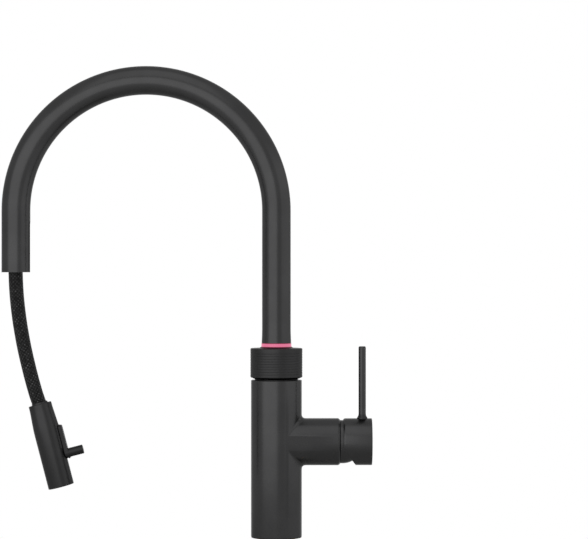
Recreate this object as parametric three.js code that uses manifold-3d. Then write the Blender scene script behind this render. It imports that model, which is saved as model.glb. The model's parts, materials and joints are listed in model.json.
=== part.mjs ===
// Boiling water tap with a pull-out spray head.
// Millimetres, +Z up. The origin is the centre of the worktop hole, on the worktop's top face.
// +X points along the mixer branch, and the spout reaches towards -X.
import * as THREE from 'three';
import { mergeVertices } from 'three/addons/utils/BufferGeometryUtils.js';
import Module from 'manifold-3d';

const wasm = await Module();
wasm.setup();

// ---- Driving dimensions ----
const GAP = 0.3;                  // running or seating gap between fitted pieces
const ROUND = 20;                 // sides of a plain turned piece
const FINE = 32;                  // sides of a large visible one
const MEDIUM = 24;                // sides of a smaller visible one

// body
const BODY_R = 22.5;              // outside radius of the body
const BODY_WALL = 2.5;            // wall of the body shell
const BODY_IN = BODY_R - BODY_WALL;
const BODY_TOP = 139.2;           // top edge of the body
const BODY_EDGE = 0.9;            // rounding of the body's top edge
const LIP_WALL = 3.1;             // wall of the body's mouth, round the ring's skirt
const LIP_HEIGHT = 5;
const SEAL_T = 0.9;               // rubber seal under the body
const BASE_PLUG_H = 8.1;
const BASE_PLUG_WALL = 3;

// hose, also where it passes through the body
const HOSE_R = 6.35;
const HOSE_BORE = 4.2;
const HOSE_LOW = -75;             // where the hose leaves the tap underneath

// gooseneck spout
const SPOUT_R = 12.7;
const SPOUT_WALL = 0.6;
const SPOUT_BORE = SPOUT_R - SPOUT_WALL;

// under the worktop
const SLAB_T = 30;                // worktop clamped between the seal and the washers
const SHANK_R = BODY_IN - BASE_PLUG_WALL - 2 * GAP;
const SHANK_WALL = 1.9;
const SHANK_LEN = 58;             // below the worktop's top face
const WASHER_R = BODY_R + 4.5;
const RUBBER_T = 3;
const CLAMP_T = 2.3;
const NUT_H = 9;
const NUT_FLAT = SHANK_R + 4.1;   // half of the size across flats

// tails
const TAIL_SLACK = 2.15;          // space left beside a tail between the hose and the shank
const TAIL_R = (SHANK_R - SHANK_WALL - HOSE_R - TAIL_SLACK) / 2;
const TAIL_WALL = 1;
const TAIL_LOW = -72;             // lower end of the tails
const TAIL_END_WALL = 0.9;        // threaded end round a tail
const TAIL_END_R = TAIL_R + TAIL_END_WALL;
const TAIL_END_H = 11;
const TAIL_RING = HOSE_R + TAIL_END_R + 0.25;   // tails stand round the hose
const FEED_X = TAIL_RING * Math.cos(Math.PI / 3);   // cold and hot tails, side by side
const FEED_Y = TAIL_RING * Math.sin(Math.PI / 3);
const MIXED_X = TAIL_RING;        // mixed-water tail
const BOIL_X = -TAIL_RING - 0.7;  // boiling-water tail
const TAIL_SEAT = 8;              // how far a tail is set into the core

// mixer branch, on the +X side
const BRANCH_Z = 84.5;
const BRANCH_R = 20.8;
const BRANCH_WALL = 3;
const BRANCH_END = 56.4;
const BRANCH_CHAMFER = 1.3;       // chamfer of its end, across ...
const BRANCH_CHAMFER_L = 1.5;     // ... and along
const FILLET = 3.1;               // weld fillet between branch and body

// valve core inside the body
const CORE_LOW = 60;
const CORE_TOP = 108;
const CORE_SEAT_X = 13.2;         // flat seat for the cartridge adapter
const PORT_R = 2.4;
const PORT_DZ = 3.5;              // cold and hot ports above the branch axis
const MIXED_DZ = -8;              // mixed port below the branch axis
const ADAPTER_END = 24.7;
const SEAL_SPACE = 1.0;           // space for the port seals

// mixer cartridge, on the branch axis
const CART_R = BRANCH_R - BRANCH_WALL - GAP;
const CART_WALL = 1.9;
const CART_BASE_T = 3;
const CART_SHOULDER = 47.5;
const COLLAR_R = CART_R - 3.3;
const COLLAR_END = 57.5;
const NECK_R = COLLAR_R - 3;      // neck of the turning carrier
const NECK_END = 61.5;
const DISC_T = 3.6;
const SLIDER_R = NECK_R - 2.2;    // moving ceramic disc
const BOSS_R = 5.5;               // driven boss on the moving disc
const PIVOT_X = 58.5;             // lever pivot, and centre of the dome
const BALL_X = 44;                // ball at the stem's inner end
const STEM_R = 3;
const PIN_R = 1.3;
const PIN_LEN = 2 * NECK_R - 1.4;
const LIFT_TRAVEL = 6.4;          // slide of the moving disc at full lift

// dome and mixer cap
const DOME_R = BRANCH_R - 1.7;
const DOME_WALL = 1.5;
const DOME_MOUTH = 42;            // half angle of the dome's opening, degrees
const CAP_START = 59.3;
const CAP_END = 84.65;
const CAP_R = BRANCH_R - 0.1;
const CAP_EDGE = 0.7;
const CAP_CHAMFER = 0.8;          // chamfer of the cap's mouth, across ...
const CAP_CHAMFER_L = 1.3;        // ... and along
const CAP_SOCKET = 82;            // end of the stem's socket in the cap
const CUT_X0 = 60.3;              // slanted cut under the cap: from here ...
const CUT_Z0 = -6;
const CUT_X1 = 70.4;              // ... to here, heights counted from the branch axis
const CUT_Z1 = -CAP_R;
const ROD_X = 76.05;
const ROD_R = 3.24;
const ROD_TOP = 169;
const ROD_SET = 7.3;              // depth of the rod in the cap
const FLARE_R = 4.6;
const GRUB_X = 80;
const GRUB_R = 1.3;

// grip ring for boiling water
const RING_R = BODY_R + 0.53;
const RING_LOW = 141.6;
const RING_HIGH = 167.3;
const RING_TOP = 168.4;           // top of its shallow cone
const LIGHT_R = SPOUT_R + 0.6;
const RING_HOLE = LIGHT_R + 0.6;
const RING_WALL = 1.6;
const RING_SPLIT = 143.5;         // joint between the ring and its skirt
const GROOVES = 9;
const GROOVE_TOP = 162.7;
const GROOVE_PITCH = 2.3;
const GROOVE_W = 0.8;
const GROOVE_D = 0.35;
const SPRING_SEAT_W = 2;          // width of the spring's seat
const DRIVER_R = BODY_IN - GAP - SPRING_SEAT_W - 0.4;
const DRIVER_WALL = 1.2;
const DRIVER_IN = DRIVER_R - DRIVER_WALL;
const SKIRT_R = BODY_R - LIP_WALL - 0.4;
const SKIRT_IN = DRIVER_R + GAP;
const SKIRT_LOW = 137.5;
const BEVEL_Z = 140.1;
const PRESS = 1.5;                // travel of the pressed ring
const DRIVER_FLANGE = 2;
const PRONG_TOP = 121;
const PRONG_W = 8;
const COLLAR_H = 4;               // press collar
const MAGNET = [3, 5, 5];

// boiling-water valve
const SEAT_T = 3;
const VALVE_T = 3;
const VALVE_IN = DRIVER_IN - 0.2;
const VALVE_R = BODY_IN - 0.6;
const VALVE_GAP = 0.3;
const VALVE_PORT = 1.1;
const SPRING_SEAT_Z = 122;
const SPRING_SEAT_H = 3;
const SPRING_WIRE = 0.5;
const SPRING_R = (SKIRT_R + SKIRT_IN) / 2 + 0.1;
const SPRING_TURNS = 3;

// centre column and spout socket
const COLUMN_WALL = 2;
const COLUMN_R = DRIVER_IN - 0.5;
const COLUMN_IN = COLUMN_R - COLUMN_WALL;
const COLUMN_TOP = 163.6;
const COLUMN_LEDGE = 118.5;
const THRUST_T = 1.2;
const SOCKET_WALL = 2.4;
const SOCKET_R = COLUMN_IN - GAP;
const SOCKET_IN = SOCKET_R - SOCKET_WALL;
const LEDGE_IN = SOCKET_IN + GAP;
const SOCKET_NECK_R = SPOUT_BORE;
const SOCKET_NECK_LOW = 166.4;
const PLUG_R = SPOUT_BORE - GAP;
const PLUG_IN = PLUG_R - 0.9;
const PLUG_TOP = 184;
const LIGHT_LOW = 167.9;
const LIGHT_TOP = 171.5;
const LIGHT_FLARE = 0.25;
const LED_T = 1.1;
const ORING_R = 0.55;

// bend and free leg of the spout
const ARC_Z = 289.3;              // height of the bend's centre
const ARC_R = 115.45;             // radius of the bend's centreline
const SPOUT_END = 234.66;
const SLOT_W = 8.2;
const SLOT_TOP = 280.1;
const GUIDE_LOW = 8;              // hose guide in the bend, degrees past the straight leg
const GUIDE_HIGH = 11;
const GUIDE_R = SPOUT_BORE - 0.5;
const HOSE_JOINT = 7.4;           // where the free hose starts, degrees past the straight leg
const BOIL_TUBE_R = (SOCKET_IN - HOSE_R - 0.75) / 2;
const BOIL_TUBE_Y = HOSE_R + 0.5 + BOIL_TUBE_R;

// spray head, on its own axis, heights counted from its lower end
const HEAD_X = -190.7;            // centre of the head's lower end as it hangs
const HEAD_Z = 44.86;
const HEAD_TILT = 14.58;          // degrees from vertical
const HEAD_R = SPOUT_BORE - 0.63; // it slides into the spout's end
const HEAD_LEN = 75.47;
const HEAD_WALL = 2.07;
const HEAD_BORE = HEAD_R - HEAD_WALL;
const HEAD_MOUTH = HEAD_R - 3.27;
const BALL_T = HEAD_LEN - 5.97;   // swivel ball's centre
const BALL_R = HEAD_MOUTH - 1;
const SWIVEL_R = BALL_R - 0.3;
const WEB_T = BALL_T - 8.5;
const WEB_HOLE = 5;
const LEVER_X = HEAD_R - 2.87;    // lever pivot
const LEVER_T = WEB_T - 10.5;
const LEVER_PIN_R = 0.8;
const PLATE_LOW = 22.8;           // lever plate
const PLATE_TOP = LEVER_T + 2.5;
const PLATE_W = 7.2;
const PLATE_OUT = HEAD_R + 2.53;
const POCKET_X = HEAD_R - 1.52;
const KNOB_T = 27;
const KNOB_R = 3.7;
const KNOB_OUT = HEAD_R + 15.63;
const CORE_R = HEAD_BORE - GAP;
const CORE_WAIST = LEVER_X - 1.7;
const CORE_BORE = 4.5;
const CORE_T0 = 12;
const CORE_T1 = WEB_T - 0.8;
const CORE_LAND = 8;              // length of the core's lower land
const CORE_NECK = 4.2;            // length of its upper land
const CORE_STEP = 0.6;
const VALVE_SET = 10.2;           // check valve below the core's top
const VALVE_LEN = 10;
const MESH_R = CORE_R - 1.8;

// Free hose, from the guide in the spout down to the swivel ball: its centreline,
// as it hangs in the photograph (x, z), chosen by hand.
const HOSE_ROUTE = [
  [-229.90, 304.2], [-230.40, 296.5], [-230.85, 288.6], [-231.00, 280.0], [-231.15, 270.0],
  [-231.25, 258.0], [-231.25, 247.0], [-231.22, 240.0], [-231.18, 234.66], [-230.85, 225.0],
  [-230.32, 216.0], [-229.52, 207.0], [-228.48, 198.0], [-227.24, 189.0], [-225.74, 180.0],
  [-224.09, 171.0], [-222.19, 162.0], [-220.10, 153.0], [-217.88, 144.0], [-215.46, 135.0],
  [-212.84, 126.0], [-209.95, 117.9],
];

const SPOUT_X = -2 * ARC_R;       // axis of the spout's free leg
const CAVITY_R = DOME_R + 0.5;    // hollow of the cap round the dome
const deg = THREE.MathUtils.degToRad;

// ---- Shape helpers ----
const clean = (geometry) => {
  const g = geometry.index ? geometry.clone() : geometry;
  for (const name of Object.keys(g.attributes)) if (name !== 'position') g.deleteAttribute(name);
  return mergeVertices(g, 1e-4);
};

// Faces point outwards when the signed volume is positive.
const outward = (geometry) => {
  const g = clean(geometry);
  const p = g.attributes.position;
  const index = Array.from(g.index.array);
  const kept = [];
  let volume = 0;
  const [a, b, c] = [new THREE.Vector3(), new THREE.Vector3(), new THREE.Vector3()];
  for (let i = 0; i < index.length; i += 3) {
    const t = index.slice(i, i + 3);
    if (t[0] === t[1] || t[1] === t[2] || t[0] === t[2]) continue;
    kept.push(...t);
    a.fromBufferAttribute(p, t[0]);
    b.fromBufferAttribute(p, t[1]);
    c.fromBufferAttribute(p, t[2]);
    volume += a.dot(b.cross(c));
  }
  if (volume < 0) for (let i = 0; i < kept.length; i += 3) [kept[i], kept[i + 1]] = [kept[i + 1], kept[i]];
  g.setIndex(kept);
  return g;
};

const toSolid = (geometry) => {
  const g = outward(geometry);
  return new wasm.Manifold(new wasm.Mesh({
    numProp: 3,
    vertProperties: new Float32Array(g.attributes.position.array),
    triVerts: new Uint32Array(g.index.array),
  }));
};

const toGeometry = (solid) => {
  const mesh = solid.getMesh();
  const g = new THREE.BufferGeometry();
  g.setAttribute('position', new THREE.BufferAttribute(Float32Array.from(mesh.vertProperties), 3));
  g.setIndex(Array.from(mesh.triVerts));
  return g;
};

const combine = (first, { add = [], cut = [] }) => {
  let solid = toSolid(first);
  for (const g of add) solid = solid.add(toSolid(g));
  for (const g of cut) solid = solid.subtract(toSolid(g));
  return toGeometry(solid);
};

// Turned piece about Z from [radius, height] points.
const turned = (points, segments = ROUND) => {
  const profile = points.map(([r, z]) => new THREE.Vector2(r, z));
  return outward(new THREE.LatheGeometry(profile, segments).rotateX(Math.PI / 2));
};

// Turned piece about the branch axis from [radius, x] points.
const turnedX = (points, segments = ROUND) => {
  const g = turned(points, segments);
  return g.rotateY(Math.PI / 2).translate(0, 0, BRANCH_Z);
};

const ring = (rIn, rOut, z0, z1, segments = ROUND) => turned(
  [[rIn, z0], [rOut, z0], [rOut, z1], [rIn, z1], [rIn, z0]], segments);
const ringX = (rIn, rOut, x0, x1, segments = ROUND) => turnedX(
  [[rIn, x0], [rOut, x0], [rOut, x1], [rIn, x1], [rIn, x0]], segments);
const rod = (r, z0, z1, segments = 24) => turned([[0, z0], [r, z0], [r, z1], [0, z1]], segments);

// Straight round bar between two points.
const bar = (r, from, to, segments = 16) => {
  const a = new THREE.Vector3(...from);
  const b = new THREE.Vector3(...to);
  const g = new THREE.CylinderGeometry(r, r, a.distanceTo(b), segments);
  g.applyQuaternion(new THREE.Quaternion().setFromUnitVectors(
    new THREE.Vector3(0, 1, 0), b.clone().sub(a).normalize()));
  return g.translate(...a.add(b).multiplyScalar(0.5).toArray());
};

const block = (x0, x1, y0, y1, z0, z1) => new THREE.BoxGeometry(x1 - x0, y1 - y0, z1 - z0)
  .translate((x0 + x1) / 2, (y0 + y1) / 2, (z0 + z1) / 2);

// Path through chosen stations, each with its own tangent.
class Route extends THREE.Curve {
  constructor(stations) {
    super();
    this.stations = stations;
  }
  at(u) {
    return this.stations[Math.round(u * (this.stations.length - 1))];
  }
  getPoint(u, target = new THREE.Vector3()) {
    return target.copy(this.at(u).point);
  }
  getPointAt(u, target = new THREE.Vector3()) {
    return target.copy(this.at(u).point);
  }
  getTangentAt(u, target = new THREE.Vector3()) {
    return target.copy(this.at(u).tangent);
  }
}

const circle = (r, n) => Array.from({ length: n }, (_, i) => new THREE.Vector2(
  r * Math.cos(2 * Math.PI * i / n), r * Math.sin(2 * Math.PI * i / n)));

// Round tube, or a solid bar where the bore is 0, along stations.
const tube = (stations, r, bore, sides, boreSides = sides) => {
  const shape = new THREE.Shape(circle(r, sides));
  if (bore > 0) shape.holes.push(new THREE.Path(circle(bore, boreSides)));
  return outward(new THREE.ExtrudeGeometry(shape, {
    steps: stations.length - 1, extrudePath: new Route(stations), bevelEnabled: false, curveSegments: 1,
  }));
};

// Stations on the gooseneck's centreline, from height z0 in the fixed leg over the bend
// to an angle past the free leg's start, or to the height z1 in the free leg.
const gooseneck = (z0, steps, { z1 = null, beyond = 0, y = 0 }) => {
  const list = [{ point: new THREE.Vector3(0, y, z0), tangent: new THREE.Vector3(0, 0, 1) }];
  const stop = z1 === null ? Math.PI - deg(beyond) : Math.PI;
  for (let i = 0; i <= steps; i++) {
    const a = stop * i / steps;
    list.push({
      point: new THREE.Vector3(-ARC_R + ARC_R * Math.cos(a), y, ARC_Z + ARC_R * Math.sin(a)),
      tangent: new THREE.Vector3(-Math.sin(a), 0, Math.cos(a)),
    });
  }
  if (z1 !== null) {
    list.push({ point: new THREE.Vector3(SPOUT_X, y, z1), tangent: new THREE.Vector3(0, 0, -1) });
  }
  return list;
};

const object = new THREE.Group();
const matt = { color: 0x3c3c3e, roughness: 0.55, metalness: 0.2 };
const brass = { color: 0xb59a58, roughness: 0.35, metalness: 0.9 };
const steel = { color: 0xb8babd, roughness: 0.3, metalness: 0.9 };
const rubber = { color: 0x1c1c1c, roughness: 0.9, metalness: 0 };
const ceramic = { color: 0xe9e6df, roughness: 0.4, metalness: 0 };
const plastic = { color: 0xd9d7d0, roughness: 0.5, metalness: 0 };
const black = { color: 0x222222, roughness: 0.6, metalness: 0 };
const braid = { color: 0x2b2b2c, roughness: 0.7, metalness: 0.1 };
const piece = (name, geometry, look, parent = object) => {
  const mesh = new THREE.Mesh(geometry, new THREE.MeshStandardMaterial(look));
  mesh.name = name;
  parent.add(mesh);
  return mesh;
};

// ---- Body ----
const bodyOuter = turned([
  [0, SEAL_T], [BODY_R - 0.3, SEAL_T], [BODY_R, SEAL_T + 0.3], [BODY_R, BODY_TOP - BODY_EDGE],
  [BODY_R - BODY_EDGE * 0.29, BODY_TOP - BODY_EDGE * 0.29], [BODY_R - BODY_EDGE, BODY_TOP], [0, BODY_TOP],
], FINE + 4);
const branchOuter = turnedX([
  [0, 0], [BRANCH_R, 0], [BRANCH_R, BRANCH_END - BRANCH_CHAMFER_L],
  [BRANCH_R - BRANCH_CHAMFER, BRANCH_END], [0, BRANCH_END],
], FINE + 4);

// Weld fillet: a slim ring of triangular section along the line where branch and body meet.
const filletRing = () => {
  const n = MEDIUM;
  const position = [];
  const index = [];
  const onBody = (y) => Math.sqrt(Math.max(BODY_R ** 2 - y ** 2, 0));
  for (let i = 0; i < n; i++) {
    const a = 2 * Math.PI * i / n;
    const [c, s] = [Math.cos(a), Math.sin(a)];
    const lift = FILLET * s * s + 0.05;
    const wide = (BRANCH_R + lift) * c;
    const foot = onBody(BRANCH_R * c);
    position.push(foot + lift, BRANCH_R * c, BRANCH_Z + BRANCH_R * s);
    position.push(onBody(wide) - 0.02, wide, BRANCH_Z + (BRANCH_R + lift) * s);
    position.push(foot - 1.2, (BRANCH_R - 1.2) * c, BRANCH_Z + (BRANCH_R - 1.2) * s);
    for (let k = 0; k < 3; k++) {
      const [p, q] = [3 * i + k, 3 * i + (k + 1) % 3];
      const [u, v] = [3 * ((i + 1) % n) + k, 3 * ((i + 1) % n) + (k + 1) % 3];
      index.push(p, u, q, q, u, v);
    }
  }
  const g = new THREE.BufferGeometry();
  g.setAttribute('position', new THREE.Float32BufferAttribute(position, 3));
  g.setIndex(index);
  return g;
};

// The body's mouth is chamfered to clear the ring's bevel when the ring is pressed.
const bevelSlope = (RING_LOW - 0.1 - BEVEL_Z) / (RING_R - 0.6 - SKIRT_R);
const mouthR = (z) => SKIRT_R + (z - (BEVEL_Z - PRESS - GAP)) / bevelSlope;
const mouthCone = turned([
  [0, BODY_TOP - 1], [mouthR(BODY_TOP - 1), BODY_TOP - 1], [mouthR(BODY_TOP + 0.2), BODY_TOP + 0.2],
  [0, BODY_TOP + 0.2],
], MEDIUM);

piece('base_seal', ring(SHANK_R + 0.6, BODY_R - 0.5, 0, SEAL_T), rubber);
piece('body_shell', combine(bodyOuter, {
  add: [branchOuter, filletRing()],
  cut: [
    rod(BODY_IN, SEAL_T - 1, BODY_TOP - LIP_HEIGHT, MEDIUM),
    rod(BODY_R - LIP_WALL, BODY_TOP - LIP_HEIGHT - 1, BODY_TOP + 1, MEDIUM), mouthCone,
    bar(BRANCH_R - BRANCH_WALL, [0, 0, BRANCH_Z], [BRANCH_END + 1, 0, BRANCH_Z], MEDIUM),
  ],
}), matt);
piece('base_plug', ring(SHANK_R + GAP, BODY_IN - GAP, SEAL_T, SEAL_T + BASE_PLUG_H), brass);
piece('mounting_shank', ring(SHANK_R - SHANK_WALL, SHANK_R, -SHANK_LEN, SEAL_T + BASE_PLUG_H), brass);
piece('rubber_washer', ring(SHANK_R + 0.4, WASHER_R, -SLAB_T - RUBBER_T, -SLAB_T), rubber);
piece('clamp_washer', ring(SHANK_R + 0.4, WASHER_R, -SLAB_T - RUBBER_T - CLAMP_T, -SLAB_T - RUBBER_T), steel);
const nutTop = -SLAB_T - RUBBER_T - CLAMP_T;
piece('fixing_nut', combine(rod(NUT_FLAT / Math.cos(Math.PI / 6), nutTop - NUT_H, nutTop, 6), {
  cut: [rod(SHANK_R + GAP, nutTop - NUT_H - 1, nutTop + 1, ROUND)],
}), brass);

// ---- Valve core, tails and the hose inside the body ----
const tails = {
  cold: [FEED_X, -FEED_Y], hot: [FEED_X, FEED_Y], mixed: [MIXED_X, 0], boiling: [BOIL_X, 0],
};
const tailTop = { cold: CORE_LOW + TAIL_SEAT, hot: CORE_LOW + TAIL_SEAT, mixed: CORE_LOW + TAIL_SEAT,
  boiling: CORE_TOP - 10 };
const tailSeats = Object.entries(tails).map(([name, [x, y]]) => bar(
  TAIL_R + 0.25, [x, y, CORE_LOW - 1], [x, y, tailTop[name] + GAP]));
const portR = (VALVE_IN + VALVE_R) / 2;   // radius of the boiling valve's port
const coreChannels = [
  bar(PORT_R, [FEED_X, -FEED_Y, CORE_LOW + 1], [FEED_X, -FEED_Y, BRANCH_Z + PORT_DZ + PORT_R]),
  bar(PORT_R, [FEED_X, FEED_Y, CORE_LOW + 1], [FEED_X, FEED_Y, BRANCH_Z + PORT_DZ + PORT_R]),
  bar(PORT_R, [MIXED_X, 0, CORE_LOW + 1], [MIXED_X, 0, BRANCH_Z + MIXED_DZ + PORT_R]),
  bar(PORT_R, [FEED_X, -FEED_Y, BRANCH_Z + PORT_DZ], [CORE_SEAT_X + 5, -FEED_Y, BRANCH_Z + PORT_DZ]),
  bar(PORT_R, [FEED_X, FEED_Y, BRANCH_Z + PORT_DZ], [CORE_SEAT_X + 5, FEED_Y, BRANCH_Z + PORT_DZ]),
  bar(PORT_R, [MIXED_X, 0, BRANCH_Z + MIXED_DZ], [CORE_SEAT_X + 5, 0, BRANCH_Z + MIXED_DZ]),
  bar(VALVE_PORT, [BOIL_X, 0, CORE_TOP - 10.5], [-portR, 0, CORE_TOP - 10.5], 8),
  bar(VALVE_PORT, [-portR, 0, CORE_TOP - 11], [-portR, 0, CORE_TOP + 1], 8),
];
piece('valve_core', combine(rod(BODY_IN - 0.4, CORE_LOW, CORE_TOP, 24), {
  cut: [
    rod(HOSE_R + 0.85, CORE_LOW - 1, CORE_TOP + 1, 16),
    bar(CART_R + GAP, [CORE_SEAT_X, 0, BRANCH_Z], [BODY_R + 5, 0, BRANCH_Z], 24),
    ...tailSeats, ...coreChannels,
  ],
}), brass);
for (const [name, [x, y]] of Object.entries(tails)) {
  const label = name === 'mixed' ? 'mixed_outlet' : `${name}_inlet`;
  piece(`${label}_tail`, ring(TAIL_R - TAIL_WALL, TAIL_R, TAIL_LOW, tailTop[name], 12).translate(x, y, 0),
    { color: 0xb87346, roughness: 0.4, metalness: 0.9 });
  piece(`${label}_end`, ring(TAIL_R + 0.2, TAIL_END_R, TAIL_LOW, TAIL_LOW + TAIL_END_H, 12)
    .translate(x, y, 0), brass);
}
piece('hose_in_body', ring(HOSE_BORE, HOSE_R, HOSE_LOW, SOCKET_NECK_LOW, 16), braid);

// ---- Mixer cartridge ----
const portPoints = [[-FEED_Y, PORT_DZ], [FEED_Y, PORT_DZ], [0, MIXED_DZ]];
const ports = (x0, x1) => portPoints.map(([y, dz]) => bar(
  PORT_R, [x0, y, BRANCH_Z + dz], [x1, y, BRANCH_Z + dz]));
piece('cartridge_adapter', combine(bar(CART_R, [CORE_SEAT_X + GAP, 0, BRANCH_Z],
  [ADAPTER_END, 0, BRANCH_Z], ROUND), {
  cut: [...ports(CORE_SEAT_X - 1, ADAPTER_END + 1)],
}), brass);
const cartBase = ADAPTER_END + SEAL_SPACE;
['cold', 'hot', 'mixed'].forEach((name, i) => {
  const [y, dz] = portPoints[i];
  piece(`${name}_port_seal`, ring(PORT_R + 0.1, PORT_R + 1.3, ADAPTER_END + 0.1, cartBase - 0.1, 12)
    .rotateY(Math.PI / 2).translate(0, y, BRANCH_Z + dz), rubber);
});
const chamberX = cartBase + CART_BASE_T;
const housing = turnedX([
  [0, cartBase], [CART_R, cartBase], [CART_R, CART_SHOULDER], [COLLAR_R, CART_SHOULDER],
  [COLLAR_R, COLLAR_END], [NECK_R + GAP, COLLAR_END], [NECK_R + GAP, CART_SHOULDER - 2],
  [CART_R - CART_WALL, CART_SHOULDER - 2], [CART_R - CART_WALL, chamberX], [0, chamberX],
]);
piece('cartridge_housing', combine(housing, { cut: ports(cartBase - 1, chamberX + 1) }), plastic);
const fixedX = chamberX + GAP;
piece('fixed_ceramic_disc', combine(bar(CART_R - CART_WALL - GAP, [fixedX, 0, BRANCH_Z],
  [fixedX + DISC_T, 0, BRANCH_Z], ROUND), { cut: ports(fixedX - 1, fixedX + DISC_T + 1) }), ceramic);
const slideX = fixedX + DISC_T + 0.2;
piece('moving_ceramic_disc', combine(bar(SLIDER_R, [slideX, 0, BRANCH_Z], [slideX + DISC_T, 0, BRANCH_Z], ROUND), {
  add: [bar(BOSS_R, [slideX + 1, 0, BRANCH_Z], [BALL_X + 1.2, 0, BRANCH_Z], 24)],
  cut: [bar(STEM_R + 0.4, [BALL_X - STEM_R - 0.8, 0, BRANCH_Z], [BALL_X + 3, 0, BRANCH_Z], 24)],
}), ceramic);
const carrierX = slideX + DISC_T + GAP;
piece('cartridge_carrier', combine(turnedX([
  [0, carrierX], [CART_R - CART_WALL - GAP, carrierX], [CART_R - CART_WALL - GAP, CART_SHOULDER - 2 - GAP],
  [NECK_R, CART_SHOULDER - 2 - GAP], [NECK_R, NECK_END], [0, NECK_END],
]), {
  cut: [
    block(carrierX - 1, CART_SHOULDER - 2, -BOSS_R - GAP, BOSS_R + GAP,
      BRANCH_Z - BOSS_R - GAP, BRANCH_Z + BOSS_R + LIFT_TRAVEL + GAP),
    block(carrierX, NECK_END + 1, -STEM_R - 0.4, STEM_R + 0.4,
      BRANCH_Z - STEM_R - 2.2, BRANCH_Z + STEM_R + LIFT_TRAVEL + 0.6),
    bar(PIN_R + 0.2, [PIVOT_X, -NECK_R - 1, BRANCH_Z], [PIVOT_X, NECK_R + 1, BRANCH_Z], 16),
  ],
}), plastic);
piece('pivot_pin', bar(PIN_R, [PIVOT_X, -PIN_LEN / 2, BRANCH_Z], [PIVOT_X, PIN_LEN / 2, BRANCH_Z], 16), steel);
piece('cartridge_nut', ringX(COLLAR_R + GAP, BRANCH_R - BRANCH_WALL - GAP, CART_SHOULDER + 0.2,
  BRANCH_END - 0.3), brass);

// ---- Dome, stem, cap and lever rod ----
const onSphere = (r, from, to, steps) => Array.from({ length: steps + 1 }, (_, i) => {
  const a = deg(from + (to - from) * i / steps);
  return [r * Math.sin(a), PIVOT_X + r * Math.cos(a)];
});
piece('dome_cover', turnedX([
  [DOME_R - DOME_WALL, BRANCH_END + GAP], [DOME_R, BRANCH_END + GAP], ...onSphere(DOME_R, 90, DOME_MOUTH, 5),
  ...onSphere(DOME_R - DOME_WALL, DOME_MOUTH, 90, 2), [DOME_R - DOME_WALL, BRANCH_END + GAP],
], MEDIUM), matt);
piece('stem', combine(bar(STEM_R, [BALL_X, 0, BRANCH_Z], [CAP_SOCKET - GAP, 0, BRANCH_Z], 16), {
  add: [new THREE.SphereGeometry(STEM_R, 12, 8).translate(BALL_X, 0, BRANCH_Z)],
  cut: [bar(PIN_R + 0.15, [PIVOT_X, -9, BRANCH_Z], [PIVOT_X, 9, BRANCH_Z], 16)],
}), steel);
const socketR = STEM_R + GAP;
const socketAngle = THREE.MathUtils.radToDeg(Math.asin(socketR / CAVITY_R));
const mouthAngle = THREE.MathUtils.radToDeg(Math.acos((CAP_START - PIVOT_X) / CAVITY_R));
const capBlank = turnedX([
  [0, CAP_SOCKET], [socketR, CAP_SOCKET], ...onSphere(CAVITY_R, socketAngle, mouthAngle, 5),
  [CAP_R - CAP_CHAMFER, CAP_START], [CAP_R, CAP_START + CAP_CHAMFER_L], [CAP_R, CAP_END - CAP_EDGE],
  [CAP_R - CAP_EDGE * 0.29, CAP_END - CAP_EDGE * 0.29], [CAP_R - CAP_EDGE, CAP_END], [0, CAP_END],
], FINE);
const cutShape = new THREE.Shape([
  new THREE.Vector2(CUT_X0 - 5, CUT_Z0 - 60), new THREE.Vector2(CUT_X1 + (CUT_X1 - CUT_X0) * 0.3,
    CUT_Z1 + (CUT_Z1 - CUT_Z0) * 0.3), new THREE.Vector2(CUT_X0, CUT_Z0),
  new THREE.Vector2(CUT_X0 - 5, CUT_Z0 + 5 * (CUT_Z0 - CUT_Z1) / (CUT_X1 - CUT_X0)),
]);
const slantedCut = new THREE.ExtrudeGeometry(cutShape, { depth: 60, bevelEnabled: false })
  .rotateX(Math.PI / 2).translate(0, 30, BRANCH_Z);
const capTop = BRANCH_Z + CAP_R;
piece('handle_cap', combine(capBlank, {
  cut: [
    slantedCut,
    rod(ROD_R + GAP, capTop - ROD_SET - GAP, capTop + 3, 24).translate(ROD_X, 0, 0),
    rod(GRUB_R + GAP, BRANCH_Z - CAP_R - 3, BRANCH_Z - 1, 12).translate(GRUB_X, 0, 0),
  ],
}), matt);
piece('lever_rod', turned([
  [0, capTop - ROD_SET], [ROD_R, capTop - ROD_SET], [ROD_R, capTop + GAP], [FLARE_R, capTop + GAP],
  [FLARE_R - 0.3, capTop + 0.9], [ROD_R, capTop + 3.2], [ROD_R, ROD_TOP - 0.5], [ROD_R - 0.5, ROD_TOP],
  [0, ROD_TOP],
], ROUND).translate(ROD_X, 0, 0), matt);
piece('grub_screw', rod(GRUB_R, BRANCH_Z - CAP_R + 0.6, BRANCH_Z - STEM_R - GAP, 12)
  .translate(GRUB_X, 0, 0), steel);

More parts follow.
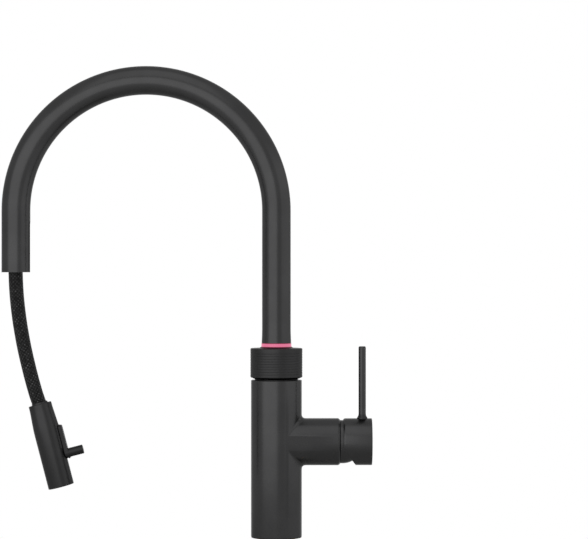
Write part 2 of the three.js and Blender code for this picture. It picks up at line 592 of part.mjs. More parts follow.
// ---- Boiling-water valve and grip ring ----
const seatZ = CORE_TOP;
const valveZ = seatZ + SEAT_T + VALVE_GAP;
piece('boiling_valve_seat', combine(ring(VALVE_IN, VALVE_R, seatZ, seatZ + SEAT_T), {
  cut: [-portR, portR].map((x) => bar(VALVE_PORT, [x, 0, seatZ - 1], [x, 0, seatZ + SEAT_T + 1], 8)),
}), ceramic);
const notch = (sign, w, z0, z1, r0, r1) => block(-w / 2, w / 2, Math.min(sign * r0, sign * r1),
  Math.max(sign * r0, sign * r1), z0, z1);
piece('boiling_valve_disc', combine(ring(VALVE_IN, VALVE_R, valveZ, valveZ + VALVE_T), {
  cut: [1, -1].flatMap((s) => [
    notch(s, PRONG_W + 2 * GAP, valveZ - 1, valveZ + VALVE_T + 1, 12, DRIVER_R + GAP),
    bar(VALVE_PORT, [s * portR * Math.cos(deg(35)), portR * Math.sin(deg(35)), valveZ - 1],
      [s * portR * Math.cos(deg(35)), portR * Math.sin(deg(35)), valveZ + VALVE_T + 1], 8),
  ]),
}), ceramic);

const grooveLines = [];
for (let i = GROOVES - 1; i >= 0; i--) {
  const z = GROOVE_TOP - i * GROOVE_PITCH;
  grooveLines.push([RING_R, z - GROOVE_W / 2], [RING_R - GROOVE_D, z], [RING_R, z + GROOVE_W / 2]);
}
piece('control_ring', turned([
  [RING_R - RING_WALL, RING_SPLIT], [RING_R, RING_SPLIT], ...grooveLines,
  [RING_R, RING_HIGH - 0.4], [RING_R - 0.4, RING_HIGH], [RING_HOLE + 1.6, RING_HIGH + 0.2],
  [RING_HOLE, RING_TOP], [RING_HOLE, RING_HIGH - 1.2], [RING_R - RING_WALL, RING_HIGH - 1.8],
  [RING_R - RING_WALL, RING_SPLIT],
], FINE - 4), { color: 0x343435, roughness: 0.6, metalness: 0.2 });
piece('ring_skirt', turned([
  [SKIRT_IN, SKIRT_LOW], [SKIRT_R, SKIRT_LOW], [SKIRT_R, BEVEL_Z], [RING_R - 0.6, RING_LOW - 0.1],
  [RING_R, RING_LOW + 0.4], [RING_R, RING_SPLIT], [SKIRT_IN, RING_SPLIT], [SKIRT_IN, SKIRT_LOW],
], FINE - 4), { color: 0x343435, roughness: 0.6, metalness: 0.2 });
const prongLow = valveZ + VALVE_T - 1;
const driverHollow = (sign) => {
  const half = (PRONG_TOP - prongLow) / 2 + 0.5;
  return block(sign > 0 ? PRONG_W / 2 : -30, sign > 0 ? 30 : -PRONG_W / 2, -30, 30,
    prongLow - 1, prongLow - 1 + 2 * half);
};
piece('ring_driver', combine(turned([
  [DRIVER_IN, prongLow], [DRIVER_R, prongLow], [DRIVER_R, RING_SPLIT], [RING_R - RING_WALL - GAP, RING_SPLIT],
  [RING_R - RING_WALL - GAP, RING_SPLIT + DRIVER_FLANGE], [DRIVER_IN, RING_SPLIT + DRIVER_FLANGE],
  [DRIVER_IN, prongLow],
]), { cut: [driverHollow(1), driverHollow(-1)] }), plastic);
const collarZ = RING_SPLIT + DRIVER_FLANGE + GAP;
piece('press_collar', ring(COLUMN_R + GAP, RING_R - RING_WALL - GAP, collarZ, collarZ + COLLAR_H), plastic);
piece('ring_magnet', block(-MAGNET[1] / 2, MAGNET[1] / 2, RING_R - RING_WALL - 0.4 - MAGNET[0] * 1.0,
  RING_R - RING_WALL - 0.4, collarZ + COLLAR_H + GAP, collarZ + COLLAR_H + GAP + MAGNET[2]), steel);
piece('spring_seat', ring(DRIVER_R + 0.4, BODY_IN - GAP, SPRING_SEAT_Z, SPRING_SEAT_Z + SPRING_SEAT_H), brass);

// Ring spring: open coil between its seat and the skirt.
const springStations = [];
const springLow = SPRING_SEAT_Z + SPRING_SEAT_H + SPRING_WIRE + 0.1;
const springHigh = SKIRT_LOW - SPRING_WIRE - 0.1;
for (let i = 0; i <= SPRING_TURNS * 12; i++) {
  const a = 2 * Math.PI * i / 12;
  const rise = (springHigh - springLow) / (SPRING_TURNS * 2 * Math.PI);
  springStations.push({
    point: new THREE.Vector3(SPRING_R * Math.cos(a), SPRING_R * Math.sin(a), springLow + rise * a),
    tangent: new THREE.Vector3(-SPRING_R * Math.sin(a), SPRING_R * Math.cos(a), rise).normalize(),
  });
}
piece('ring_spring', tube(springStations, SPRING_WIRE, 0, 5), steel);

// ---- Centre column and spout socket ----
piece('centre_column', turned([
  [LEDGE_IN, CORE_TOP], [COLUMN_R, CORE_TOP], [COLUMN_R, COLUMN_TOP], [COLUMN_IN, COLUMN_TOP],
  [COLUMN_IN, COLUMN_LEDGE], [LEDGE_IN, COLUMN_LEDGE], [LEDGE_IN, CORE_TOP],
]), brass);
piece('thrust_washer', ring(LEDGE_IN, COLUMN_IN - GAP, COLUMN_LEDGE, COLUMN_LEDGE + THRUST_T), plastic);
const socketLow = COLUMN_LEDGE + THRUST_T + 0.1;
const sealGroove = (z) => [
  [SOCKET_R, z - ORING_R - 0.15], [SOCKET_R - 2 * ORING_R - 0.05, z - ORING_R - 0.15],
  [SOCKET_R - 2 * ORING_R - 0.05, z + ORING_R + 0.15], [SOCKET_R, z + ORING_R + 0.15],
];
const sealZ = 140;
piece('spout_socket', turned([
  [SOCKET_IN, socketLow], [SOCKET_R, socketLow], ...sealGroove(sealZ),
  [SOCKET_R, SOCKET_NECK_LOW], [SOCKET_NECK_R, SOCKET_NECK_LOW], [SOCKET_NECK_R, LIGHT_TOP],
  [PLUG_R, LIGHT_TOP], [PLUG_R, PLUG_TOP], [PLUG_IN, PLUG_TOP], [PLUG_IN, SOCKET_NECK_LOW],
  [SOCKET_IN, SOCKET_NECK_LOW], [SOCKET_IN, socketLow],
]), brass);
piece('socket_seal', turned(Array.from({ length: 7 }, (_, k) => [
  SOCKET_R - ORING_R + 0.05 + ORING_R * Math.cos(k * Math.PI / 3),
  sealZ + ORING_R * Math.sin(k * Math.PI / 3)])), rubber);
piece('led_board', ring(SOCKET_NECK_R + GAP, SOCKET_R, SOCKET_NECK_LOW + 0.1, SOCKET_NECK_LOW + 0.1 + LED_T),
  { color: 0x2f6b3a, roughness: 0.5, metalness: 0.1 });
piece('light_ring', turned([
  [SOCKET_NECK_R + GAP, LIGHT_LOW], [LIGHT_R + LIGHT_FLARE, LIGHT_LOW], [LIGHT_R, LIGHT_LOW + 1.2],
  [LIGHT_R, LIGHT_TOP - 0.6], [SPOUT_R, LIGHT_TOP], [SOCKET_NECK_R + GAP, LIGHT_TOP],
  [SOCKET_NECK_R + GAP, LIGHT_LOW],
], MEDIUM), { color: 0xf0829f, roughness: 0.3, metalness: 0, emissive: 0xe8205a, emissiveIntensity: 0.6 });

// ---- Gooseneck spout ----
const spoutTube = tube(gooseneck(LIGHT_TOP, 24, { z1: SPOUT_END }), SPOUT_R, SPOUT_BORE, 20, 20);
const slotZ = SLOT_TOP - SLOT_W / 2;
piece('spout_tube', combine(spoutTube, {
  cut: [
    block(SPOUT_X + 4, SPOUT_X + 20, -SLOT_W / 2, SLOT_W / 2, SPOUT_END - 5, slotZ),
    bar(SLOT_W / 2, [SPOUT_X + 4, 0, slotZ], [SPOUT_X + 20, 0, slotZ], 20),
  ],
}), matt);
piece('hose_in_spout', tube(gooseneck(SOCKET_NECK_LOW + GAP, 16, { beyond: HOSE_JOINT + 0.4 }),
  HOSE_R, HOSE_BORE, 10, 6), braid);
piece('boiling_tube', tube(gooseneck(socketLow + 2, 16, { beyond: GUIDE_HIGH + 0.3, y: BOIL_TUBE_Y }),
  BOIL_TUBE_R, 0, 6), steel);
const guideStations = [GUIDE_HIGH, (GUIDE_HIGH + GUIDE_LOW) / 2, GUIDE_LOW].map((d) => {
  const a = Math.PI - deg(d);
  return {
    point: new THREE.Vector3(-ARC_R + ARC_R * Math.cos(a), 0, ARC_Z + ARC_R * Math.sin(a)),
    tangent: new THREE.Vector3(-Math.sin(a), 0, Math.cos(a)),
  };
});
piece('hose_guide', tube(guideStations, GUIDE_R, HOSE_R + 2 * GAP, 20, 12), plastic);

// ---- Free hose ----
const hosePoints = HOSE_ROUTE.map(([x, z]) => new THREE.Vector3(x, 0, z));
const hoseCurve = new THREE.CatmullRomCurve3(hosePoints);
const hoseSteps = 12;
const hoseStations = Array.from({ length: hoseSteps + 1 }, (_, i) => ({
  point: hoseCurve.getPointAt(i / hoseSteps), tangent: hoseCurve.getTangentAt(i / hoseSteps),
}));
piece('pull_out_hose', tube(hoseStations, HOSE_R, 0, 12), braid);

// ---- Spray head, in a group tilted as it hangs ----
const head = new THREE.Group();
head.position.set(HEAD_X, 0, HEAD_Z);
head.rotation.y = -deg(HEAD_TILT);
object.add(head);

const socketBall = Array.from({ length: 5 }, (_, i) => {
  const a = deg(90 + (48 - 0) * i / 4);
  return [(BALL_R + GAP) * Math.sin(a), BALL_T + (BALL_R + GAP) * Math.cos(a)];
});
const shellBlank = turned([
  [HEAD_BORE, 0], [HEAD_R - 0.4, 0], [HEAD_R, 0.5], [HEAD_R, PLATE_TOP], [HEAD_R - 0.52, WEB_T],
  [HEAD_R - 1.17, BALL_T + 0.5],
  [HEAD_R - 1.62, HEAD_LEN - 1.6], [HEAD_R - 2.27, HEAD_LEN - 0.3], [HEAD_MOUTH + 0.3, HEAD_LEN],
  [HEAD_MOUTH, HEAD_LEN - 0.2], [HEAD_MOUTH, BALL_T], ...socketBall, [WEB_HOLE, WEB_T],
  [HEAD_BORE, WEB_T - 0.5], [HEAD_BORE, 0],
], MEDIUM);
const plateShape = (w, x0, x1, t0, t1) => [
  block(x0, x1, -w / 2, w / 2, t0 + w / 2, t1 - w / 2),
  bar(w / 2, [x0, 0, t0 + w / 2], [x1, 0, t0 + w / 2], 16),
  bar(w / 2, [x0, 0, t1 - w / 2], [x1, 0, t1 - w / 2], 16),
];
const [pocket, ...pocketEnds] = plateShape(PLATE_W + 0.9, POCKET_X, HEAD_R + 5, PLATE_LOW - 0.6, PLATE_TOP + 0.45);
piece('spray_shell', combine(shellBlank, {
  cut: [
    pocket, ...pocketEnds,
    block(HEAD_BORE - 3, POCKET_X + 0.1, -2.95, 2.95, KNOB_T - 3.6, KNOB_T + 3.6),
    block(HEAD_BORE - 3, POCKET_X + 0.1, -2.95, 2.95, LEVER_T - 2.4, LEVER_T + 2.9),
    bar(LEVER_PIN_R + 0.25, [LEVER_X, -HEAD_R, LEVER_T], [LEVER_X, HEAD_R, LEVER_T], 12),
  ],
}), matt, head);
const [plate, ...plateEnds] = plateShape(PLATE_W, POCKET_X + GAP, PLATE_OUT, PLATE_LOW, PLATE_TOP);
piece('spray_lever', combine(plate, {
  add: [
    ...plateEnds,
    bar(KNOB_R, [POCKET_X + 1, 0, KNOB_T], [KNOB_OUT, 0, KNOB_T], ROUND),
    block(LEVER_X - 0.8, POCKET_X + 1, -2.6, 2.6, KNOB_T - 2.5, KNOB_T + 2.5),
    block(LEVER_X - 1.3, POCKET_X + 1, -2.6, 2.6, LEVER_T - 1.6, LEVER_T + 1.6),
  ],
  cut: [bar(LEVER_PIN_R + 0.2, [LEVER_X, -9, LEVER_T], [LEVER_X, 9, LEVER_T], 12)],
}), matt, head);
piece('lever_pin', bar(LEVER_PIN_R, [LEVER_X, -5.2, LEVER_T], [LEVER_X, 5.2, LEVER_T], 10), steel, head);
piece('head_core', turned([
  [CORE_BORE, CORE_T0], [CORE_R, CORE_T0], [CORE_R, CORE_T0 + CORE_LAND],
  [CORE_WAIST, CORE_T0 + CORE_LAND + CORE_STEP], [CORE_WAIST, CORE_T1 - CORE_NECK - CORE_STEP],
  [CORE_R, CORE_T1 - CORE_NECK], [CORE_R, CORE_T1], [CORE_BORE, CORE_T1], [CORE_BORE, CORE_T0],
], ROUND), plastic, head);
piece('check_valve', ring(2, CORE_BORE - GAP, CORE_T1 - VALVE_SET - VALVE_LEN, CORE_T1 - VALVE_SET, 16), plastic, head);
piece('aerator_housing', ring(MESH_R + GAP, CORE_R, 0.6, CORE_T0 - GAP), black, head);
const jets = Array.from({ length: 9 }, (_, i) => {
  const r = i < 8 ? 4.6 : 0;
  const a = i * Math.PI / 4;
  return bar(0.7, [r * Math.cos(a), r * Math.sin(a), -1], [r * Math.cos(a), r * Math.sin(a), 5], 6);
});
piece('spray_plate', combine(rod(MESH_R, 1, 2.6, ROUND), { cut: jets }), black, head);
piece('swivel_ball', turned([
  [3.6, BALL_T - 6.1],
  ...Array.from({ length: 6 }, (_, i) => {
    const a = deg(147 - 57 * i / 5);
    return [BALL_R * Math.sin(a), BALL_T + BALL_R * Math.cos(a)];
  }),
  [SWIVEL_R, BALL_T + 2.1], [SWIVEL_R, HEAD_LEN - 0.6], [3.6, HEAD_LEN - 0.6], [3.6, BALL_T - 6.1],
], ROUND), steel, head);

export default object;
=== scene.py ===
"""Boiling water tap with a pull-out spray: fine pieces, finishes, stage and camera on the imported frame.

Metres, +Z up. The origin is the centre of the worktop hole, on the worktop's top face.
"""

import json
import math

import bmesh
import bpy
from mathutils import Matrix, Vector


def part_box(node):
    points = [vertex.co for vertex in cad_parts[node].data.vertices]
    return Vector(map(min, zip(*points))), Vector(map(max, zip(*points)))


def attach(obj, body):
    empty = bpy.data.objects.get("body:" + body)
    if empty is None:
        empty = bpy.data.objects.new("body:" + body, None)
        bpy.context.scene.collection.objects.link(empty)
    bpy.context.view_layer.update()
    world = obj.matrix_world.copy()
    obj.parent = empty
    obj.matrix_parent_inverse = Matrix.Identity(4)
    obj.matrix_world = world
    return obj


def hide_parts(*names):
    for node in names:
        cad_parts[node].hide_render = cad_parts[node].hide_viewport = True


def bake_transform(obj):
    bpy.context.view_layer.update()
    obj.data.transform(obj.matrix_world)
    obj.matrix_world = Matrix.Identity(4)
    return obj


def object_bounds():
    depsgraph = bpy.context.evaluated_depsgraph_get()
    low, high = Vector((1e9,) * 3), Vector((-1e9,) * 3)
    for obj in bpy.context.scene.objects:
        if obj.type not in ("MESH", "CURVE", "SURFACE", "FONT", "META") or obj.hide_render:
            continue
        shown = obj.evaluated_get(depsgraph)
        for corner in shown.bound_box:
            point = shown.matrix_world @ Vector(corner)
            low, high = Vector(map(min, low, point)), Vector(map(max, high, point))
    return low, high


bl_info = {
    "name": "Boiling Water Tap",
    "version": (1, 0, 0),
    "blender": (4, 5, 0),
    "location": "View3D > Sidebar > Tap",
    "description": "Makes a kitchen tap with a pull-out spray and a ring for boiling water",
    "category": "Add Mesh",
}

MM = 0.001
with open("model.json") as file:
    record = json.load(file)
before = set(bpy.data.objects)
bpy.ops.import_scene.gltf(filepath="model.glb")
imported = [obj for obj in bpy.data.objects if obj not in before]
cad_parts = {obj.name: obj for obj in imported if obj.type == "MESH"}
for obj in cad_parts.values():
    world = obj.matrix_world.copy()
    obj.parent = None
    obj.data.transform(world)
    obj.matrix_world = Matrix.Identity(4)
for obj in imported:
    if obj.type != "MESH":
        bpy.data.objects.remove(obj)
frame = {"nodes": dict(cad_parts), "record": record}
CAD_BOX = [list(corner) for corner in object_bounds()]

# Free hose from the guide inside the spout down to the swivel ball: x and z.
HOSE_ROUTE = [
    (-0.2299, 0.3042), (-0.2304, 0.2965), (-0.23085, 0.2886), (-0.231, 0.28), (-0.23115, 0.27),
    (-0.23125, 0.258), (-0.23125, 0.247), (-0.23122, 0.24), (-0.23118, 0.23466), (-0.23085, 0.225),
    (-0.23032, 0.216), (-0.22952, 0.207), (-0.22848, 0.198), (-0.22724, 0.189), (-0.22574, 0.18),
    (-0.22409, 0.171), (-0.22219, 0.162), (-0.2201, 0.153), (-0.21788, 0.144), (-0.21546, 0.135),
    (-0.21284, 0.126), (-0.20995, 0.1179),
]

# Places shared by several pieces, in metres.
BRANCH_Z = 0.0845
BRANCH_R = 0.0208
PIVOT_X = 0.0585
ARC_Z = 0.2893
ARC_R = 0.11545
SPOUT_R = 0.0127
SPOUT_BORE = 0.0121
SPOUT_END = 0.23466
LIGHT_LIP = 0.0005
HEAD_PLACE = Matrix.Translation((-0.1907, 0, 0.04486)) @ Matrix.Rotation(math.radians(-14.58), 4, "Y")

# Operations of carve().
ADD, CUT, KEEP = "UNION", "DIFFERENCE", "INTERSECT"


# ---- Properties ----
def length(name, text, default):
    return bpy.props.FloatProperty(
        name=name, description=text, default=default, min=0.0, max=1.0, unit="LENGTH", precision=5)


def colour(name, text, default):
    return bpy.props.FloatVectorProperty(
        name=name, description=text, default=default, size=3, min=0.0, max=1.0, subtype="COLOR")


class TapSizes(bpy.types.PropertyGroup):
    """Sizes of the tap's finer details"""

    sides: bpy.props.IntProperty(
        name="Sides", description="Sides of a large round piece", default=128, min=24, max=256)
    body_radius: length("Body Radius", "Outside radius of the body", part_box("body_shell")[1].y)
    body_top: length("Body Top", "Height of the body's mouth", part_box("body_shell")[1].z)
    edge: length("Edge", "Rounding of the body's and cap's edges", 0.0008)
    fillet: length("Weld Fillet", "Reach of the fillet where the branch meets the body", 0.0036)
    grooves: bpy.props.IntProperty(
        name="Grooves", description="Grooves round the grip ring", default=9, min=0, max=10)
    groove_pitch: length("Groove Pitch", "Distance from groove to groove", 0.0023)
    groove_depth: length("Groove Depth", "Depth of a groove", 0.00016)
    thread_pitch: length("Thread Pitch", "Pitch of the shank's thread", 0.0015)
    strands: bpy.props.IntProperty(
        name="Strands", description="Strands of the braid in each direction", default=12, min=6, max=24)
    strand_rise: length("Strand Rise", "How far a strand stands out where it crosses over", 0.00026)


class TapColours(bpy.types.PropertyGroup):
    """Colours of the tap's finishes"""

    coat: colour("Coat", "Matt coat of body, spout and handle", (0.040, 0.040, 0.0405))
    ring_coat: colour("Ring Coat", "Matt coat of the grip ring", (0.029, 0.029, 0.0294))
    head_coat: colour("Head Coat", "Matt coat of the spray head", (0.029, 0.029, 0.0294))
    # braid_low is the yarn's darker tone, and a third of it is painted shade in the gaps between strands.
    braid_low: colour("Braid Valley", "Dark of the braid between its strands", (0.0015, 0.0015, 0.0015))
    braid_high: colour("Braid Yarn", "Yarn of the braid", (0.0195, 0.0195, 0.0197))
    glow_core: colour("Glow Core", "Middle of the lit ring", (0.58, 0.135, 0.235))
    glow_rim: colour("Glow Rim", "Edges of the lit ring", (0.14, 0.004, 0.024))
    brass: colour("Brass", "Turned brass", (0.62, 0.47, 0.20))
    copper: colour("Copper", "Drawn copper tube", (0.70, 0.37, 0.22))
    steel: colour("Steel", "Plated steel", (0.56, 0.56, 0.58))
    rubber: colour("Rubber", "Black rubber", (0.018, 0.018, 0.018))
    ceramic: colour("Ceramic", "Lapped ceramic", (0.80, 0.78, 0.72))
    plastic: colour("Plastic", "Pale moulded plastic", (0.62, 0.60, 0.55))
    dark_plastic: colour("Dark Plastic", "Black moulded plastic", (0.022, 0.022, 0.023))
    board: colour("Board", "Circuit board", (0.03, 0.14, 0.06))
    floor: colour("Floor", "Pale floor", (0.85, 0.85, 0.84))


def sizes():
    return bpy.context.scene.tap_sizes


def colours():
    return bpy.context.scene.tap_colours


# ---- Shader expressions ----
class Signal:
    """A shader socket on which Python's operators add Math nodes."""

    def __init__(self, finish, socket):
        self.finish = finish
        self.socket = socket

    def maths(self, operation, *values):
        return self.finish.node("ShaderNodeMath", {"operation": operation}, dict(enumerate(values)))

    def __add__(self, other):
        return self.maths("ADD", self, other)

    __radd__ = __add__

    def __sub__(self, other):
        return self.maths("SUBTRACT", self, other)

    def __rsub__(self, other):
        return self.maths("SUBTRACT", other, self)

    def __mul__(self, other):
        return self.maths("MULTIPLY", self, other)

    __rmul__ = __mul__

    def __truediv__(self, other):
        return self.maths("DIVIDE", self, other)

    def __pow__(self, other):
        return self.maths("POWER", self, other)

    def __abs__(self):
        return self.maths("ABSOLUTE", self)

    def sin(self):
        return self.maths("SINE", self)

    def floor(self):
        return self.maths("FLOOR", self)

    def fraction(self):
        return self.maths("FRACT", self)

    def largest(self, other):
        return self.maths("MAXIMUM", self, other)

    def above(self, edge, soft):
        """0 below edge, 1 above edge + soft, smooth between."""
        return self.finish.node("ShaderNodeMapRange", {"interpolation_type": "SMOOTHSTEP"}, {
            "Value": self, "From Min": edge, "From Max": edge + soft, "To Min": 0.0, "To Max": 1.0})


class Finish:
    """A material or world under construction."""

    def __init__(self, name, world=False):
        self.data = bpy.data.worlds.new(name) if world else bpy.data.materials.new(name)
        self.data.use_nodes = True
        self.tree = self.data.node_tree
        self.tree.nodes.clear()

    def feed(self, socket, value):
        """Links a signal to the socket, or sets its number or colour."""
        if isinstance(value, Signal):
            self.tree.links.new(value.socket, socket)
        elif socket.type == "RGBA":
            socket.default_value = (*value, 1.0)
        else:
            socket.default_value = value

    def node(self, kind, settings=None, inputs=None, output=0):
        """Output of a new node. Its settings are set before its inputs are fed."""
        node = self.tree.nodes.new(kind)
        for key, value in (settings or {}).items():
            setattr(node, key, value)
        for key, value in (inputs or {}).items():
            self.feed(node.inputs[key], value)
        return Signal(self, node.outputs[output]) if node.outputs else None

    def place(self):
        """Object coordinates."""
        return self.node("ShaderNodeTexCoord", output="Object")

    def parts(self, vector):
        """x, y and z of a vector."""
        first = self.node("ShaderNodeSeparateXYZ", inputs={"Vector": vector})
        return [Signal(self, output) for output in first.socket.node.outputs]

    def noise(self, scale, detail=3.0, roughness=0.55, stretch=None):
        vector = self.place()
        if stretch:
            vector = self.node(
                "ShaderNodeMapping", {"vector_type": "POINT"}, {"Vector": vector, "Scale": stretch})
        return self.node("ShaderNodeTexNoise", None, {
            "Vector": vector, "Scale": scale, "Detail": detail, "Roughness": roughness})

    def mix(self, factor, first, second):
        """Mix of two colours. A Mix node's colours are its inputs 6 and 7 and its output 2."""
        return self.node("ShaderNodeMix", {"data_type": "RGBA"}, {0: factor, 6: first, 7: second}, output=2)

    def bump(self, height, depth, strength):
        return self.node("ShaderNodeBump", None, {"Height": height, "Distance": depth, "Strength": strength})

    def surface(self, **inputs):
        """Principled surface. Names are written with underscores for spaces."""
        named = {key.replace("_", " "): value for key, value in inputs.items()}
        shader = self.node("ShaderNodeBsdfPrincipled", None, named)
        self.node("ShaderNodeOutputMaterial", None, {"Surface": shader})
        return self.data


def seen_directly(finish):
    """1 for camera, glossy and transmission rays, 0 for the rest."""
    outputs = finish.node("ShaderNodeLightPath").socket.node.outputs
    camera, glossy, through = (
        Signal(finish, outputs[f"Is {kind} Ray"]) for kind in ("Camera", "Glossy", "Transmission"))
    return camera.largest(glossy).largest(through)


def shaded(tint, by):
    return tuple(part * by for part in tint)


# ---- Finishes ----
def matt_coat(name, tint, rough):
    """Matt black coat on metal, dull at its edges: orange peel, faint clouds and soft specks."""
    f = Finish(name)
    cloud = f.noise(38.0, 2.0, 0.5)
    peel = f.noise(1900.0, 2.0, 0.6)
    speck = f.noise(5200.0, 1.0, 0.5)
    shade = f.mix(cloud.above(0.35, 0.3), shaded(tint, 0.96), shaded(tint, 1.06))
    shade = f.mix(speck.above(0.66, 0.1) * 0.4, shade, shaded(tint, 1.5))
    return f.surface(
        Base_Color=shade,
        Metallic=1.0,
        Specular_Tint=(0.6, 0.6, 0.6),
        Roughness=rough - 0.03 + 0.03 * cloud + 0.03 * peel,
        Normal=f.bump(peel + 0.4 * speck, 0.00002, 0.5),
    )


def braid_sleeve(name, tint_low, tint_high):
    """Braid of flat black strands, each of several yarns, from the hose's own UV map, with painted shade in
    the gaps between strands and painted highlights on their crowns.
    """
    f = Finish(name)
    yarns_in_strand = 5
    uv = f.node("ShaderNodeUVMap", {"uv_map": "Braid"})
    u, v, _ = f.parts(uv)
    warp, weft = u + v, u - v
    # Which family lies on top: opposite signs on a chequerboard of the two families.
    turn = 2.0 * (((warp + 0.5).floor() + (weft + 0.5).floor()) * 0.5).fraction()
    over = turn.above(0.4, 0.2)
    across_warp, across_weft = (warp + 0.5).fraction() - 0.5, (weft + 0.5).fraction() - 0.5
    yarns_warp = (across_warp * (2 * math.pi * yarns_in_strand)).sin()
    yarns_weft = (across_weft * (2 * math.pi * yarns_in_strand)).sin()
    yarns = over * yarns_weft + (1.0 - over) * yarns_warp
    from_crown = (abs(across_warp) * 2.0).largest(abs(across_weft) * 2.0)
    gap = from_crown.above(0.72, 0.25)
    crown = (1.0 - from_crown).above(0.45, 0.4)
    wear = f.noise(420.0, 3.0, 0.6)
    # painted_glint: light specks painted on the strands' crowns as painted highlights.
    painted_glint = f.noise(700.0, 4.0, 0.75).above(0.5, 0.12)
    shade = f.mix(wear.above(0.35, 0.3), tint_low, tint_high)
    # Painted shade: the gaps between strands are darkened to a third of the valley colour.
    shade = f.mix(gap * 0.95, shade, shaded(tint_low, 0.35))
    shade = f.mix(painted_glint * crown * 0.9, shade, tuple(min(1.0, c * 5.0 + 0.03) for c in tint_high))
    return f.surface(
        Base_Color=shade,
        Roughness=0.46 + 0.30 * gap + 0.12 * wear,
        Specular_IOR_Level=0.14,
        Normal=f.bump(0.5 * yarns - 1.2 * gap, 0.00010, 0.9),
    )


def lit_ring(name, core, rim, low, high):
    """Translucent plastic ring lit from inside, palest at the middle of its height."""
    f = Finish(name)
    z = f.parts(f.place())[2]
    from_middle = abs(z - (low + high) / 2) / ((high - low) / 2)
    waver = f.noise(160.0, 2.0, 0.5)
    pale = 1.0 - (from_middle + 0.08 * (waver - 0.5)).above(0.62, 0.2)
    glow = f.mix(pale, rim, core)
    return f.surface(
        Base_Color=f.mix(pale, shaded(rim, 0.5), shaded(core, 0.35)),
        Roughness=0.34 + 0.1 * waver,
        Specular_IOR_Level=0.3,
        Emission_Color=glow,
        Emission_Strength=1.0,
    )


def turned_metal(name, tint, rough):
    """Turned or drawn metal: fine tool lines round the piece and a cloudy tarnish."""
    f = Finish(name)
    lines = f.noise(2600.0, 2.0, 0.5, stretch=(0.05, 0.05, 1.0))
    tarnish = f.noise(70.0, 4.0, 0.6)
    spots = f.noise(900.0, 2.0, 0.5).above(0.68, 0.1)
    shade = f.mix(tarnish.above(0.35, 0.35), shaded(tint, 0.74), tint)
    shade = f.mix(0.3 * spots, shade, shaded(tint, 0.5))
    return f.surface(
        Base_Color=shade, Metallic=1.0, Roughness=rough - 0.06 + 0.14 * lines + 0.08 * tarnish,
        Normal=f.bump(lines, 0.00002, 0.5),
    )


def moulded(name, tint, rough, level=0.4, grain_scale=2400.0, depth=0.00003):
    """Moulded plastic, rubber or pressed ceramic: a fine grain and slight mottling."""
    f = Finish(name)
    mottle = f.noise(120.0, 3.0, 0.55)
    grain = f.noise(grain_scale, 2.0, 0.6)
    shade = f.mix(mottle.above(0.3, 0.4), shaded(tint, 0.84), tint)
    return f.surface(
        Base_Color=shade, Roughness=rough - 0.05 + 0.08 * grain + 0.05 * mottle,
        Specular_IOR_Level=level, Normal=f.bump(grain, depth, 0.6),
    )


def circuit_board(name, tint):
    """Green board with fine copper tracks."""
    f = Finish(name)
    x, y, _ = f.parts(f.place())
    tracks = ((x * 2400.0).sin() * (y * 2400.0).sin()).above(0.55, 0.1)
    shade = f.mix(tracks, tint, (0.55, 0.35, 0.12))
    return f.surface(Base_Color=shade, Roughness=0.45 + 0.1 * f.noise(600.0), Metallic=tracks * 0.7)


FINISHES = {}


def finish(name):
    """The named finish, made when it is first used."""
    if name in FINISHES:
        return FINISHES[name]
    c = colours()
    light_low, light_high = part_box("light_ring")
    makers = {
        "matt_black": (matt_coat, "Matt Black Coat", c.coat, 0.27),
        "ring_black": (matt_coat, "Grip Ring Coat", c.ring_coat, 0.40),
        "head_black": (matt_coat, "Spray Head Coat", c.head_coat, 0.30),
        # The switch lever's coat is the head coat at three quarters: painted shade on the plate's flat side.
        "switch_black_painted_shade": (matt_coat, "Switch Lever Coat", shaded(c.head_coat, 0.75), 0.36),
        "braid": (braid_sleeve, "Braided Sleeve", c.braid_low, c.braid_high),
        "light": (lit_ring, "Lit Ring", c.glow_core, c.glow_rim, light_low.z + 0.0004,
                  light_high.z + LIGHT_LIP),
        "brass": (turned_metal, "Turned Brass", c.brass, 0.26),
        "copper": (turned_metal, "Drawn Copper", c.copper, 0.24),
        "steel": (turned_metal, "Plated Steel", c.steel, 0.27),
        "rubber": (moulded, "Black Rubber", c.rubber, 0.72, 0.3, 1500.0, 0.00006),
        "ceramic": (moulded, "Lapped Ceramic", c.ceramic, 0.26, 0.5, 3000.0, 0.00001),
        "plastic": (moulded, "Pale Plastic", c.plastic, 0.45),
        "black_plastic": (moulded, "Dark Plastic", c.dark_plastic, 0.42),
        "board": (circuit_board, "Circuit Board", c.board),
    }
    maker, *details = makers[name]
    FINISHES[name] = maker(*details)
    return FINISHES[name]


# ---- Shape helpers ----
def mm(points):
    """Profile points from millimetres."""
    return [tuple(value * MM for value in point) for point in points]


def rounded(points, radius, steps=4, closed=False):
    """A profile whose corners are rounded. A point given as (r, z, radius) has its own rounding."""
    out = []
    count = len(points)
    for i, corner in enumerate(points):
        own = corner[2] if len(corner) > 2 else radius
        here = Vector(corner[:2])
        if own <= 0 or (not closed and i in (0, count - 1)):
            out.append(tuple(here))
            continue
        before = Vector(points[i - 1][:2]) - here
        after = Vector(points[(i + 1) % count][:2]) - here
        reach = min(own, before.length * 0.49, after.length * 0.49)
        a, b = here + before.normalized() * reach, here + after.normalized() * reach
        for k in range(steps + 1):
            t = k / steps
            out.append(tuple(a * (1 - t) ** 2 + here * (2 * t * (1 - t)) + b * t ** 2))
    return out


def on_sphere(r, start, stop, steps, centre=PIVOT_X):
    """Profile points on a ball whose centre is on the axis, by angle from the axis."""
    angles = [math.radians(start + (stop - start) * i / steps) for i in range(steps + 1)]
    return [(r * math.sin(a), centre + r * math.cos(a)) for a in angles]


def outward(bm):
    """Merges doubles and points the faces outwards."""
    bmesh.ops.remove_doubles(bm, verts=bm.verts[:], dist=1e-7)
    bmesh.ops.recalc_face_normals(bm, faces=bm.faces[:])
    return bm


